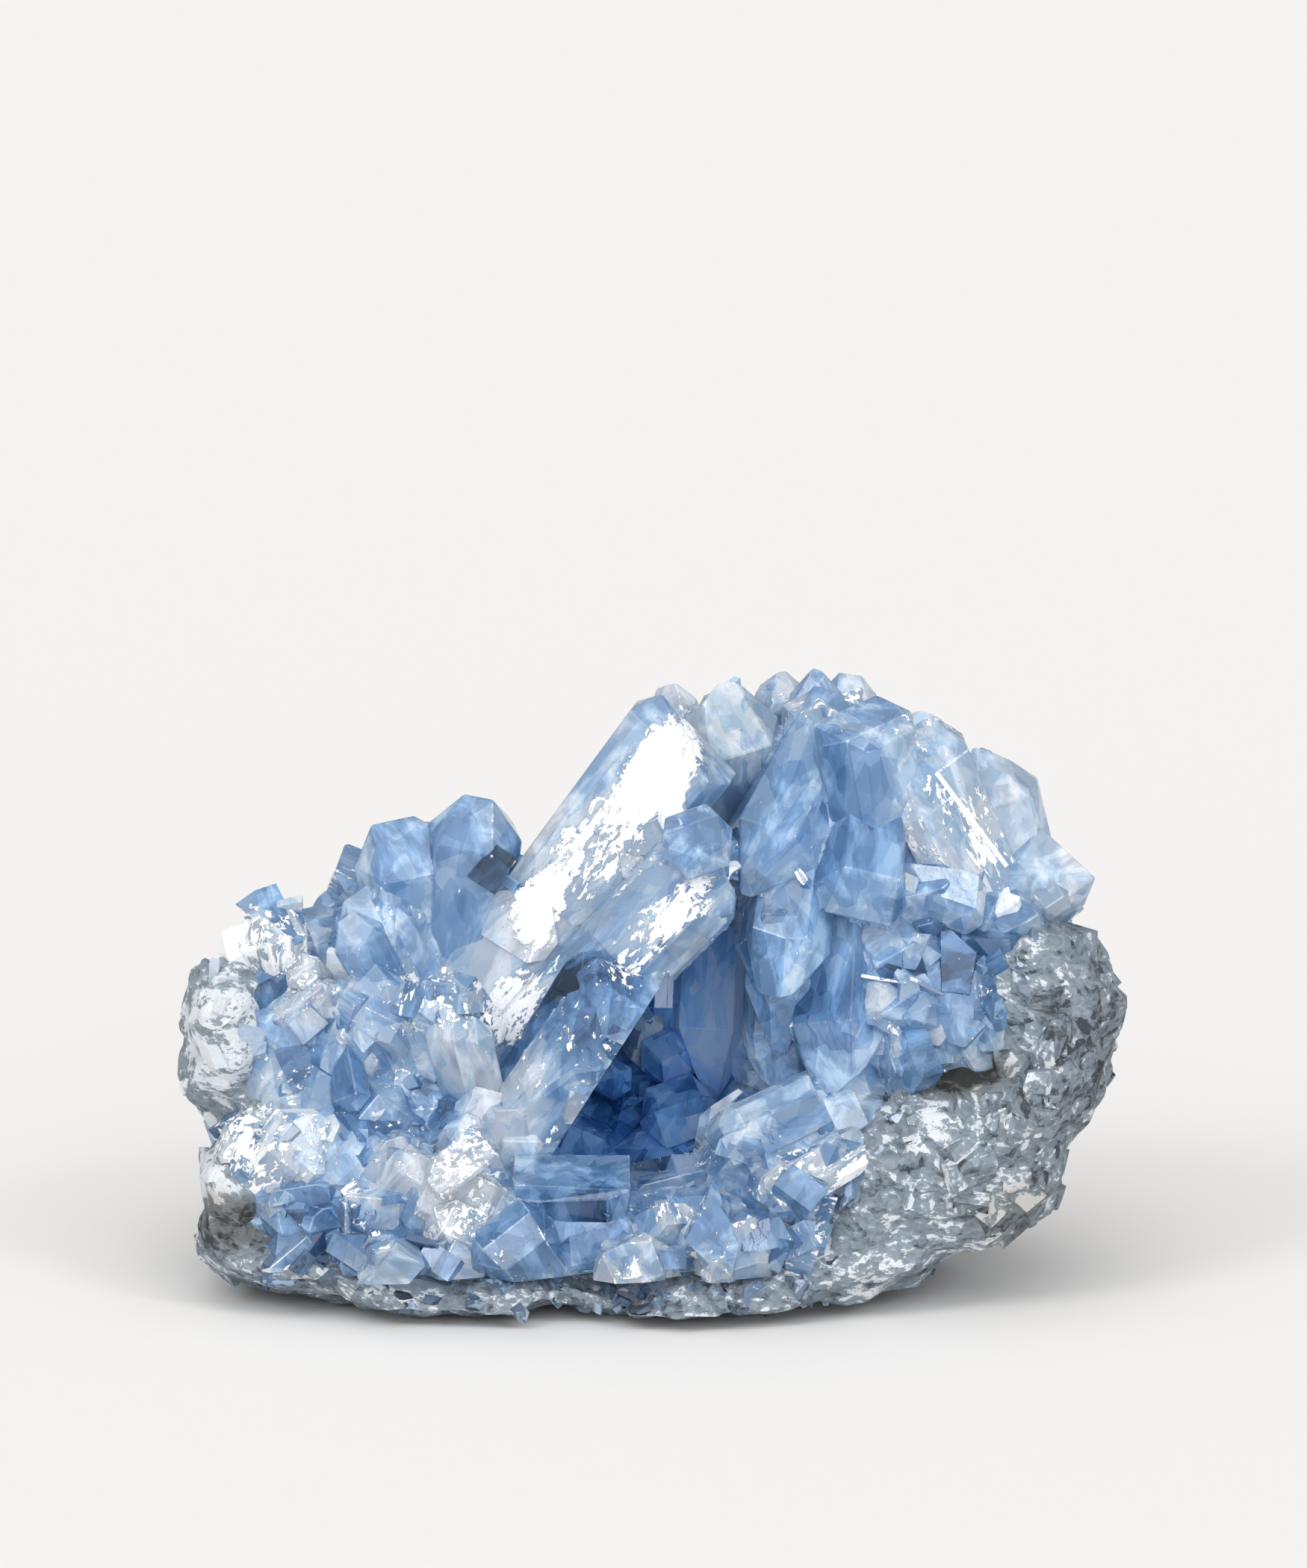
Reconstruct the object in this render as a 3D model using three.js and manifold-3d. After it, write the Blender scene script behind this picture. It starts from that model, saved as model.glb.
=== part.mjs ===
// A celestite geode: a broken-off piece of a hollow stone's wall, resting on its own small flat
// underside, with pale blue crystals grown on the inside and a deeper blue hollow in their middle.
// Millimetres, +Z up, X along the open side and +Y back into the stone. The origin is the centre
// of the underside.
import * as THREE from "three";
import { ConvexGeometry } from "three/addons/geometries/ConvexGeometry.js";
import { ImprovedNoise } from "three/addons/math/ImprovedNoise.js";
import { mergeVertices } from "three/addons/utils/BufferGeometryUtils.js";
import Module from "manifold-3d";

const wasm = await Module();
wasm.setup();

// Driving dimensions
const GAP = 0.5; // clearance between the rock and what grows on it
const STONE = { wide: 128, deep: 84, high: 70 }; // the rounded stone before it broke
const BREAK = { low: 34, rise: 21, crest: 18, spread: 32, riseBack: 0.06 }; // its broken top
const CRUST = 4; // thickness of the hollow's crust under its crystals
const FINE = 0.12; // joined solids drop detail finer than this
const CRYSTAL_FLOOR = 1.2; // no crystal reaches lower than this above the underside
const SIDE_FLAT = 0.58; // share of a crystal's width that its broad faces take
const POINT_SHARE = 0.42; // length of a crystal's point as a share of its width

// ---------- tools ----------

// A repeatable stream of numbers from 0 to 1.
function numbers(seed) {
  let state = seed;
  return () => {
    state = (state + 0x6d2b79f5) | 0;
    let t = Math.imul(state ^ (state >>> 15), 1 | state);
    t = (t + Math.imul(t ^ (t >>> 7), 61 | t)) ^ t;
    return ((t ^ (t >>> 14)) >>> 0) / 4294967296;
  };
}

// A three.js geometry as a manifold solid, from its positions alone.
function solid(geometry) {
  const bare = geometry.clone();
  bare.deleteAttribute("normal");
  bare.deleteAttribute("uv");
  const merged = mergeVertices(bare, 1e-4);
  return new wasm.Manifold(
    new wasm.Mesh({
      numProp: 3,
      vertProperties: merged.attributes.position.array,
      triVerts: new Uint32Array(merged.index.array),
    }),
  );
}

// A manifold solid as a three.js geometry.
function geometryOf(body) {
  const mesh = body.getMesh();
  const positions = new Float32Array(mesh.numVert * 3);
  for (let i = 0; i < mesh.numVert; i++) {
    positions.set(
      mesh.vertProperties.subarray(i * mesh.numProp, i * mesh.numProp + 3),
      i * 3,
    );
  }
  const geometry = new THREE.BufferGeometry();
  geometry.setAttribute("position", new THREE.BufferAttribute(positions, 3));
  geometry.setIndex(new THREE.BufferAttribute(mesh.triVerts, 1));
  geometry.computeVertexNormals();
  return geometry;
}

const union = (bodies) => bodies.reduce((all, body) => all.add(body));

// The largest of a solid's separate bodies.
const largest = (body) =>
  body.decompose().reduce((a, b) => (a.volume() > b.volume() ? a : b));

// The same, without slivers left by joining.
const trimmed = (body) => largest(largest(body).simplify(FINE));

const noise = new ImprovedNoise();

// ---------- rock ----------

// A lumpy rounded stone. boxy is the power of its outline, 2 for an ellipsoid. Each knob swells
// it by height over a distance of reach around a place, and a negative height is a pit. A slab
// has an even rim, with detail facets from its rim to its middle.
function stone({ centre, radii, boxy = 2, detail, rough, slab = false, knobs = [] }, grow = 0) {
  const geometry = slab
    ? new THREE.SphereGeometry(1, detail * 9, detail * 2).rotateX(Math.PI / 2)
    : new THREE.IcosahedronGeometry(1, detail);
  const place = geometry.attributes.position;
  const middle = new THREE.Vector3(...centre);
  const way = new THREE.Vector3();
  const point = new THREE.Vector3();
  const out = new THREE.Vector3();
  for (let i = 0; i < place.count; i++) {
    way.fromBufferAttribute(place, i).normalize();
    const parts = way.toArray().map((part, axis) => part / radii[axis]);
    const size = parts.reduce((sum, part) => sum + Math.abs(part) ** boxy, 0) ** (-1 / boxy);
    point.copy(way).multiplyScalar(size).add(middle);
    const slopes = parts.map(
      (part, axis) => (Math.sign(part) * Math.abs(part * size) ** (boxy - 1)) / radii[axis],
    );
    out.set(...slopes).normalize();
    const lumps =
      noise.noise(point.x / 13, point.y / 13, point.z / 13) +
      0.6 * noise.noise(point.x / 5 + 40, point.y / 5, point.z / 5);
    const swell = knobs.reduce((sum, { at, reach, height }) => {
      const away = point.distanceToSquared(new THREE.Vector3(...at));
      return sum + height * Math.exp(-away / (reach * reach));
    }, 0);
    point.addScaledVector(out, rough * lumps + swell + grow);
    place.setXYZ(i, point.x, point.y, point.z);
  }
  return solid(geometry);
}

const WALL = {
  centre: [0, 4, STONE.high / 2 - 1],
  radii: [STONE.wide / 2 - 1, STONE.deep / 2, STONE.high / 2],
  boxy: 2.7,
  detail: 7,
  rough: 2.2,
  knobs: [
    { at: [45, 38, 28], reach: 12, height: 3 },
    { at: [10, 44, 20], reach: 14, height: 2.5 },
    { at: [-30, 42, 34], reach: 10, height: 3 },
    { at: [-12, 40, 44], reach: 8, height: -2 },
    { at: [-63, 0, 20], reach: 7, height: -5 },
    { at: [57, -6, 7], reach: 14, height: -6 },
  ],
};
const WALL_INSIDE = {
  centre: [-10, -24, 50],
  radii: [67, 54, 46],
  boxy: 2,
  detail: 4,
  rough: 1.2,
};
// Masses of the same rock that stand in from the wall: the floor, the thick ledge at the right
// and the pitted lobes at the left.
const MASSES = [
  {
    centre: [-9, -7, 2],
    radii: [49.5, 31, 5],
    boxy: 2.4,
    detail: 4,
    slab: true,
    rough: 1.2,
    knobs: [{ at: [10, -36, 2], reach: 8, height: 2.5 }],
  },
  { centre: [39.5, -13, 18], radii: [17, 17, 12.5], boxy: 2.3, detail: 4, rough: 2.5 },
  { centre: [52.5, 0, 35.5], radii: [10, 18, 15], boxy: 2.3, detail: 3, rough: 2.5 },
  { centre: [-57, -4, 35], radii: [6, 13, 11], boxy: 2.6, detail: 3, rough: 3.5 },
  { centre: [-54.5, -11, 12], radii: [6, 13, 9.5], boxy: 2.6, detail: 3, rough: 3 },
  { centre: [-52, -3, 22], radii: [6, 16, 9], detail: 2, rough: 3 },
];
// Places where the underside stands clear of the ground.
const UNDERCUTS = [
  { centre: [-10, -41, -1.5], radii: [10, 17, 5.5], detail: 2, rough: 0.8 },
  { centre: [-52, -34, -2], radii: [17, 20, 7.5], detail: 2, rough: 0.8 },
  { centre: [44, -38, -3], radii: [22, 20, 9], detail: 2, rough: 0.8 },
];

// What broke away over the stone. Its uneven underside is highest where the crystals are.
function brokenTop(grow) {
  const [long, deep, thick] = [190, 150, 90];
  const geometry = new THREE.BoxGeometry(long, deep, thick, 22, 18, 1);
  geometry.deleteAttribute("normal");
  geometry.deleteAttribute("uv");
  const block = mergeVertices(geometry, 1e-3);
  const place = block.attributes.position;
  for (let i = 0; i < place.count; i++) {
    const [x, y] = [place.getX(i), place.getY(i)];
    const off = (x - BREAK.crest) / BREAK.spread;
    const base = BREAK.low + BREAK.rise * Math.exp(-off * off) + BREAK.riseBack * y;
    const bump = 3 * noise.noise(x / 14, y / 14, 7);
    place.setZ(i, place.getZ(i) > 0 ? 2 * thick : base + bump + grow);
  }
  return solid(block);
}

const undercuts = (grow) => union(UNDERCUTS.map((hollow) => stone(hollow, grow)));

// The host rock. grow makes it that much fatter all round, for cutting what touches it.
function hostRock(grow = 0) {
  const wall = stone(WALL, grow)
    .subtract(stone(WALL_INSIDE, -grow))
    .subtract(brokenTop(grow));
  const whole = union([largest(wall), ...MASSES.map((mass) => stone(mass, grow))]);
  const under = new THREE.BoxGeometry(300, 300, 60).translate(0, 0, -30 - grow);
  return largest(whole.subtract(solid(under)).subtract(undercuts(-grow)));
}

// ---------- crystals ----------

// One crystal: a six-sided blade from root to tip that ends in a chisel point. With roll 0 its
// broad face looks out of the open side, and with a roll below 0 it looks more to the left.
// ridge is the length of the chisel's edge as a share of the width and skew how far one end of
// that edge falls back. blunt is the edge's width as a share of the thickness, lean moves it
// towards one broad face, and flat is the share of the width that the broad faces take.
function crystal({
  root,
  tip,
  wide,
  thick,
  roll = 0,
  point = POINT_SHARE * wide,
  ridge = 0.4,
  blunt = 0,
  lean = 0,
  skew = 0,
  flat = SIDE_FLAT,
  foot = 0.9,
}) {
  const start = new THREE.Vector3(...root);
  const end = new THREE.Vector3(...tip);
  const along = end.clone().sub(start).normalize();
  const out = new THREE.Vector3(0, -1, 0);
  if (Math.abs(along.y) > 0.9) out.set(0, 0, 1);
  out.addScaledVector(along, -out.dot(along)).normalize();
  out.applyAxisAngle(along, THREE.MathUtils.degToRad(roll));
  const across = new THREE.Vector3().crossVectors(along, out);
  const [w, t] = [wide / 2, thick / 2];
  const corners = [
    [w, 0],
    [w * flat, t],
    [-w * flat, t],
    [-w, 0],
    [-w * flat, -t],
    [w * flat, -t],
  ];
  const spot = (from, a, b, scale = 1) =>
    from
      .clone()
      .addScaledVector(across, a * scale)
      .addScaledVector(out, b * scale);
  const shoulder = end.clone().addScaledVector(along, -point);
  const edge = [-1, 1].flatMap((a) => {
    const back = end.clone().addScaledVector(along, (-skew * (1 + a)) / 2);
    const sides = blunt > 0 ? [-1, 1] : [0];
    return sides.map((b) => spot(back, a * ridge * w, (lean + b * blunt) * t));
  });
  return solid(
    new ConvexGeometry([
      ...corners.map(([a, b]) => spot(start, a, b, foot)),
      ...corners.map(([a, b]) => spot(shoulder, a, b)),
      ...edge,
    ]),
  );
}

// The crystals that show best, from left to right.
const LEFT = [
  { root: [-48, -2, 39], tip: [-50, -6, 52], wide: 9, thick: 8, roll: 20, ridge: 0.5 },
  { root: [-50, 0, 38.5], tip: [-55.5, -4, 48.5], wide: 7, thick: 6, roll: -10 },
  { root: [-42, 0, 37.5], tip: [-44.5, -4, 49.5], wide: 6, thick: 5, roll: 30 },
  { root: [-34.5, 6, 40], tip: [-40.5, 2, 54.5], wide: 8, thick: 6, roll: 10, ridge: 0.6 },
  { root: [-29.5, -4, 35.5], tip: [-39, -9, 54], wide: 13, thick: 10, roll: -15, ridge: 0.7 },
  { root: [-30, 2, 40], tip: [-33, -6, 63.5], wide: 14, thick: 12, roll: 10, ridge: 0.55 },
  { root: [-25, 0, 40], tip: [-22.5, -9, 67], wide: 13, thick: 11, roll: -12, ridge: 0.3 },
  { root: [-43, -2, 34], tip: [-47, -15, 40.5], wide: 12, thick: 9, roll: 10, ridge: 0.6 },
  { root: [-36, -4, 33], tip: [-39.5, -18, 39], wide: 12, thick: 9, roll: 35, ridge: 0.5 },
  { root: [-28, -6, 32], tip: [-30, -19.5, 37.5], wide: 13, thick: 10, roll: -25, ridge: 0.7 },
  { root: [-29.5, -8, 28], tip: [-39, -17, 43], wide: 12, thick: 9, roll: 25, ridge: 0.7 },
  { root: [-24, -10, 25], tip: [-28, -20, 44], wide: 11, thick: 8, roll: -30, ridge: 0.5 },
  { root: [-45, -10, 37], tip: [-42, -22, 23.5], wide: 9, thick: 6, roll: 15, point: 9, ridge: 0.1 },
  { root: [-33, -8, 21], tip: [-37.5, -22.5, 27], wide: 11, thick: 9, roll: 15, ridge: 0.5 },
  { root: [-52, -16, 14], tip: [-43, -25, 27], wide: 11, thick: 8, roll: -10, ridge: 0.2 },
  { root: [-34, -14, 12], tip: [-34, -27, 24], wide: 12, thick: 9, roll: 20, ridge: 0.25 },
  { root: [-22, -8, 20], tip: [-27.5, -20, 25.5], wide: 11, thick: 9, roll: 40, ridge: 0.5 },
  { root: [-19, -8, 18], tip: [-18.5, -22, 27], wide: 10, thick: 8, roll: 5, ridge: 0.3 },
  { root: [-30.5, -20, 10], tip: [-23, -33, 20.5], wide: 14, thick: 10, roll: 10, ridge: 0.8 },
  { root: [-35, -16, 8], tip: [-36.5, -31.5, 17], wide: 12, thick: 9, roll: -15, ridge: 0.6 },
  { root: [-45, -18, 8], tip: [-46, -29, 18], wide: 12, thick: 8, roll: 5, ridge: 0.6 },
  { root: [-32, -25, 4.5], tip: [-37, -35, 10], wide: 9, thick: 7, roll: 25 },
  { root: [-46, -20, 4], tip: [-48, -30, 9], wide: 11, thick: 7, roll: 20, ridge: 0.7 },
];
const BLADES = [
  {
    root: [-25.5, -3, 33],
    tip: [5, -14, 76.5],
    wide: 15.5,
    thick: 10,
    roll: -22,
    ridge: 0.7,
    skew: 6,
    flat: 0.72,
    point: 5,
  },
  {
    root: [-20.5, -8, 26],
    tip: [9.5, -21, 60.5],
    wide: 16,
    thick: 9,
    roll: -20,
    ridge: 0.6,
    flat: 0.68,
    point: 4,
  },
  {
    root: [-23.5, -14, 13],
    tip: [-1.5, -23, 46],
    wide: 14.5,
    thick: 9,
    roll: 8,
    ridge: 0.8,
    flat: 0.66,
    point: 2.5,
  },
  {
    root: [7, -10, 58],
    tip: [6.5, -29, 64.8],
    wide: 10,
    thick: 9,
    roll: 20,
    ridge: 0.75,
    blunt: 0.5,
    point: 2,
  },
];
const TOP = [
  { root: [12.5, 6, 58], tip: [9.5, -3, 81.5], wide: 15, thick: 12, roll: 18, ridge: 0.3, point: 8 },
  { root: [6.5, 8, 68], tip: [2.5, 6, 79.5], wide: 7, thick: 5, roll: -20 },
  { root: [17.5, 12, 66], tip: [18, 8, 81], wide: 7.5, thick: 6, roll: 15, ridge: 0.15 },
  { root: [22.5, 8, 66], tip: [22.5, 4, 82.5], wide: 8, thick: 7, roll: -25, ridge: 0.05, point: 5 },
  { root: [26, 14, 66], tip: [27, 11, 80.5], wide: 8, thick: 6, roll: 10, ridge: 0.3 },
  { root: [34, 8, 62], tip: [37, 5, 76], wide: 8, thick: 7, roll: 0, ridge: 0.3 },
  { root: [37.5, 8, 58], tip: [40.5, 6, 71.5], wide: 7, thick: 6, roll: 25 },
  { root: [51, 6, 47], tip: [44, 0, 73.5], wide: 13, thick: 9, roll: 12, ridge: 0.05, point: 8 },
  { root: [45, 4, 45], tip: [56, -1, 58.5], wide: 13, thick: 9, roll: -10, ridge: 0.8, point: 4 },
];
const RIGHT = [
  { root: [26, 3, 76], tip: [13, -17, 55], wide: 14, thick: 11, roll: 25, ridge: 0.1, point: 8 },
  {
    root: [31, -2, 49],
    tip: [28.5, -11, 78],
    wide: 14,
    thick: 12,
    roll: 38,
    ridge: 0.8,
    blunt: 0.6,
    point: 1.5,
  },
  { root: [30, 0, 70], tip: [28, -18, 52], wide: 13, thick: 11, roll: -12, ridge: 0.7, point: 4 },
  { root: [46.5, 0, 48], tip: [34.5, -7, 75.5], wide: 15, thick: 11, roll: 32, ridge: 0.6, point: 5 },
  { root: [18, -5, 57], tip: [18, -19, 35], wide: 9, thick: 8, roll: -18, ridge: 0.2, point: 9 },
  { root: [26.5, -2, 56], tip: [24.5, -21, 29], wide: 14, thick: 11, roll: 22, ridge: 0.4, point: 8 },
  { root: [20, -8, 59], tip: [16.5, -21, 46], wide: 10, thick: 7, roll: 14, ridge: 0.2, point: 6 },
  { root: [38, 2, 52], tip: [36.5, -15, 55], wide: 12, thick: 9, roll: 15, ridge: 0.6 },
  { root: [42, 4, 50], tip: [42, -12, 50.5], wide: 12, thick: 9, roll: -20, ridge: 0.5 },
  { root: [47, 4, 46], tip: [49, -11, 49.5], wide: 12, thick: 9, roll: 30, ridge: 0.6 },
  { root: [44, 4, 39], tip: [46, -13, 42], wide: 12, thick: 9, roll: -10, ridge: 0.5 },
  { root: [46.5, 2, 42], tip: [28.5, -14, 48.5], wide: 13, thick: 9, roll: 62, ridge: 0.7, point: 4 },
  { root: [45, -2, 35], tip: [29, -18, 42.5], wide: 12, thick: 9, roll: 70, ridge: 0.8, point: 4 },
  { root: [40, -4, 30], tip: [32, -20, 35], wide: 11, thick: 8, roll: 50, ridge: 0.6 },
  { root: [36, -6, 26], tip: [24, -20, 31], wide: 11, thick: 8, roll: 45, ridge: 0.7, point: 3 },
];
const FLOOR = [
  {
    root: [-9.5, -20, 2],
    tip: [-10, -26, 19.5],
    wide: 16,
    thick: 12,
    ridge: 0.95,
    blunt: 0.9,
    point: 1,
  },
  {
    root: [-12.5, -26, 3],
    tip: [-19.5, -36.5, 13.5],
    wide: 11.5,
    thick: 9,
    roll: 10,
    ridge: 0.7,
    blunt: 0.4,
    point: 3,
  },
  { root: [31, -11, 29], tip: [10.5, -29, 22.5], wide: 8, thick: 7, roll: 12, ridge: 0.5, point: 4 },
  { root: [28, -22, 22], tip: [16.5, -33.5, 17.5], wide: 7, thick: 6, roll: 30, ridge: 0.6, point: 2 },
  { root: [37, -8, 28.5], tip: [24.5, -22, 25.5], wide: 8, thick: 6, roll: 15, ridge: 0.8, point: 3 },
  { root: [36, -12, 22], tip: [22.5, -27, 20.5], wide: 8, thick: 6, roll: -8, ridge: 0.8, point: 3 },
  { root: [4, -12, 8], tip: [3, -23, 18], wide: 12, thick: 9, roll: 10, ridge: 0.8 },
  { root: [14, -8, 10], tip: [12, -22, 17.5], wide: 11, thick: 8, roll: -15, ridge: 0.6 },
  { root: [-1, -28, 3], tip: [-3, -37.5, 12], wide: 11, thick: 8, roll: 15, ridge: 0.6 },
  { root: [8, -23, 6], tip: [4, -33, 16.5], wide: 10, thick: 7, roll: -20, ridge: 0.3 },
  { root: [13.5, -26, 4], tip: [11, -37, 14.5], wide: 11, thick: 8, roll: 5, ridge: 0.6 },
  { root: [27.5, -22, 9], tip: [19, -34, 14], wide: 11, thick: 7, roll: 20, ridge: 0.6 },
  { root: [34, -20, 6], tip: [27, -32, 10], wide: 10, thick: 7, roll: -15, ridge: 0.5 },
  { root: [-22, -24, 4], tip: [-26.5, -35, 10], wide: 11, thick: 8, roll: 30, ridge: 0.5 },
];
const HOLLOW = [
  { root: [5, 18, 15], tip: [4, 3.5, 23], wide: 11, thick: 9, roll: 12, ridge: 0.6, point: 3 },
  { root: [-9, 16, 11], tip: [-8, 4, 19], wide: 10, thick: 8, roll: -18, ridge: 0.5 },
  { root: [2, 22, 26], tip: [3, 8, 28.5], wide: 8, thick: 7, roll: 25, ridge: 0.3 },
  { root: [-5, 20, 22], tip: [-5, 6, 26.5], wide: 6.5, thick: 5, roll: -30, ridge: 0.2 },
  { root: [8, 22, 38], tip: [6, 10, 36], wide: 9, thick: 7, roll: 8, ridge: 0.4 },
  { root: [-2, 22, 34], tip: [-1, 11, 33], wide: 7.5, thick: 6, roll: -12, ridge: 0.4 },
  { root: [6, 22, 47], tip: [5, 10, 44], wide: 8, thick: 6, roll: 30, ridge: 0.2 },
  { root: [-12, 20, 26], tip: [-12, 9, 28], wide: 8, thick: 7, roll: 15, ridge: 0.5 },
  { root: [12, 18, 17], tip: [11, 3.5, 19.5], wide: 9, thick: 8, roll: 25, ridge: 0.5 },
  { root: [-2, 14, 9], tip: [-2, 4, 14.5], wide: 10, thick: 7, roll: 10, ridge: 0.7 },
];

// Solid celestite under the crystals, which they grow from. sprout is how many more crystals
// stand on the top and back of each, and tall is a share of their usual length.
const CORES = [
  { centre: [-35, 0, 21], radii: [20, 20, 20], detail: 2, rough: 1.5, sprout: 5 },
  { centre: [26, 8, 36], radii: [32, 20, 32], detail: 2, rough: 1.5, sprout: 12 },
  { centre: [-5, -11, 7], radii: [50, 22, 8], detail: 2, rough: 1, sprout: 0 },
  { centre: [-10, 17, 30], radii: [30, 15, 22], detail: 1, rough: 1.5, sprout: 11, tall: 0.7 },
  { centre: [3, 12, 44], radii: [15, 13, 21], detail: 1, rough: 1.5, sprout: 5, tall: 0.8 },
];
const SPROUT = { short: 4, long: 8, slim: 9, stout: 14, stray: 0.4, buried: 7 };

// Crystals over the top and back of a core, pointing roughly away from it.
function sprouts({ centre, radii, sprout, tall = 1 }, seed) {
  const random = numbers(seed);
  const turn = Math.PI * (3 - Math.sqrt(5)); // the golden angle spreads them evenly
  const made = [];
  for (let i = 0; made.length < sprout; i++) {
    const up = 1 - (0.6 * (i + 0.5)) / sprout;
    const round = Math.sqrt(1 - up * up);
    const angle = i * turn;
    if (Math.sin(angle) * round < 0.05) continue; // the front has its own crystals
    const way = new THREE.Vector3(Math.cos(angle) * round, Math.sin(angle) * round, up);
    const onCore = way.clone().multiply(new THREE.Vector3(...radii));
    const normal = way.clone().divide(new THREE.Vector3(...radii)).normalize();
    for (const axis of ["x", "y", "z"]) normal[axis] += SPROUT.stray * (2 * random() - 1);
    normal.normalize();
    const long = tall * THREE.MathUtils.lerp(SPROUT.short, SPROUT.long, random() ** 1.5);
    const wide = THREE.MathUtils.lerp(SPROUT.slim, SPROUT.stout, random());
    const base = onCore.add(new THREE.Vector3(...centre));
    made.push(
      crystal({
        root: base.clone().addScaledVector(normal, -SPROUT.buried).toArray(),
        tip: base.clone().addScaledVector(normal, long).toArray(),
        wide,
        thick: wide * (0.65 + 0.3 * random()),
        roll: 180 * random(),
        ridge: 0.6 * random(),
        lean: random() - 0.5,
      }),
    );
  }
  return made;
}

// ---------- the hollow ----------

const block = (points) =>
  solid(new ConvexGeometry(points.map((p) => new THREE.Vector3(...p))));

// The open mouth of the hollow, between the blades and the crystals that hang at the right.
const mouth = () =>
  block(
    [-46, 4].flatMap((y) => [
      [-15, y, 15],
      [-14, y, 22],
      [5, y, 54],
      [12, y, 52],
      [14.5, y, 38],
      [11, y, 15],
    ]),
  );

// The back of the hollow, where its own crust of crystals sits. inset keeps the crust clear.
const NICHE = { left: -19, right: 15, floor: 10, roof: 50, front: 2, back: 28, nearest: 9 };
function niche(inset = 0) {
  const { left, right, floor, roof, front, back, nearest } = NICHE;
  const ends = [
    { y: front, top: roof },
    { y: back, top: roof - 13 },
  ];
  const corners = ends.flatMap(({ y, top }) => [
    [left, y, floor],
    [left, y, floor + 14],
    [left + 20, y, top],
    [right, y, top],
    [right, y, floor],
  ]);
  const middle = [(left + right) / 2, (front + back) / 2, (floor + roof) / 2 - 4];
  const share = 1 - inset / nearest; // nearest is how close its middle is to a face
  return block(corners.map((c) => c.map((v, axis) => middle[axis] + (v - middle[axis]) * share)));
}

// ---------- assembly ----------

const fatRock = hostRock(GAP);
const cores = union(CORES.map((core) => stone(core)));
const grown = union(CORES.flatMap((core, i) => sprouts(core, 11 + i)));
const shown = union([...LEFT, ...BLADES, ...TOP, ...RIGHT, ...FLOOR].map(crystal));
const below = solid(new THREE.BoxGeometry(300, 300, 60).translate(0, 0, CRYSTAL_FLOOR - 30));
const cluster = trimmed(
  cores
    .add(grown)
    .subtract(mouth())
    .add(shown)
    .subtract(niche())
    .subtract(fatRock)
    .subtract(below)
    .subtract(undercuts(0)),
);
const hollowCrust = trimmed(
  niche(GAP)
    .subtract(stone(WALL_INSIDE, -CRUST))
    .add(union(HOLLOW.map(crystal)).intersect(niche(GAP)))
    .subtract(fatRock),
);

const paleBlue = new THREE.MeshStandardMaterial({ color: 0xa9c2de, roughness: 0.15 });
const deepBlue = new THREE.MeshStandardMaterial({ color: 0x3f6795, roughness: 0.15 });
const greyRock = new THREE.MeshStandardMaterial({ color: 0xb4b5b0, roughness: 0.95 });

function part(name, body, material) {
  const mesh = new THREE.Mesh(geometryOf(body), material);
  mesh.name = name;
  return mesh;
}

const geode = new THREE.Group();
geode.add(
  part("matrix", trimmed(hostRock()), greyRock),
  part("crystal_cluster", cluster, paleBlue),
  part("hollow_crust", hollowCrust, deepBlue),
);

// The origin goes to the centre of the underside.
const box = new THREE.Box3().setFromObject(geode);
const middle = box.getCenter(new THREE.Vector3());
geode.position.set(-middle.x, -middle.y, -box.min.z);

export default geode;
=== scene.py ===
import math
import random

import bmesh
import bpy
from mathutils import Matrix, Vector, noise
from mathutils.bvhtree import BVHTree


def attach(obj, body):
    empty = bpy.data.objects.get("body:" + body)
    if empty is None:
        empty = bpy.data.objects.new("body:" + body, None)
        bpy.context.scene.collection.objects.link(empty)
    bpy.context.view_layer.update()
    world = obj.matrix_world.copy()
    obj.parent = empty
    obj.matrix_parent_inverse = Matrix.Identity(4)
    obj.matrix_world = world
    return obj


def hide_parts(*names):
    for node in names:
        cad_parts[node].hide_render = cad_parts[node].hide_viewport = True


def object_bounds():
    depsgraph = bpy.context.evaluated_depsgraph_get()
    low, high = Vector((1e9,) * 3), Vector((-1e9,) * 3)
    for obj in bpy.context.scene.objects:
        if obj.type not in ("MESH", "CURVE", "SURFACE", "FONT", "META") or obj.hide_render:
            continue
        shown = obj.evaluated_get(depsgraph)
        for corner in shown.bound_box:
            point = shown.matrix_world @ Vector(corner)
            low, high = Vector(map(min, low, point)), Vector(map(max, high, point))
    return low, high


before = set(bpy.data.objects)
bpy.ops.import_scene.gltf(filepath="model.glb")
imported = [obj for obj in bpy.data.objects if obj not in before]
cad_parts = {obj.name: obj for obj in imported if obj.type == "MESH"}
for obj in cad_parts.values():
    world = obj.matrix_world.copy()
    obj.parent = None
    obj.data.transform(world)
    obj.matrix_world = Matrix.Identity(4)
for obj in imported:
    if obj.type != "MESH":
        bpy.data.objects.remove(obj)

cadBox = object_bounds()

# Shapes are made in millimetres about the middle of the design, then put in the row's frame.
designToRow = Vector((-0.174, -4.103, 0.0))
toRow = Matrix.Scale(0.001, 4) @ Matrix.Translation(designToRow)
toDesign = toRow.inverted()
boxLow, boxHigh = [toDesign @ corner for corner in cadBox]

view = {  # mm, and degrees
    "elevation": 10,
    "distance": 3200,
    "tall": 210.0,
    "aim": (0.8, 66.1),  # x, and height on the picture plane
    "sensor": 36,
}
rise = math.radians(view["elevation"])
viewBack = Vector((0, -math.cos(rise), math.sin(rise)))
viewUp = Vector((0, math.sin(rise), math.cos(rise)))


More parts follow.
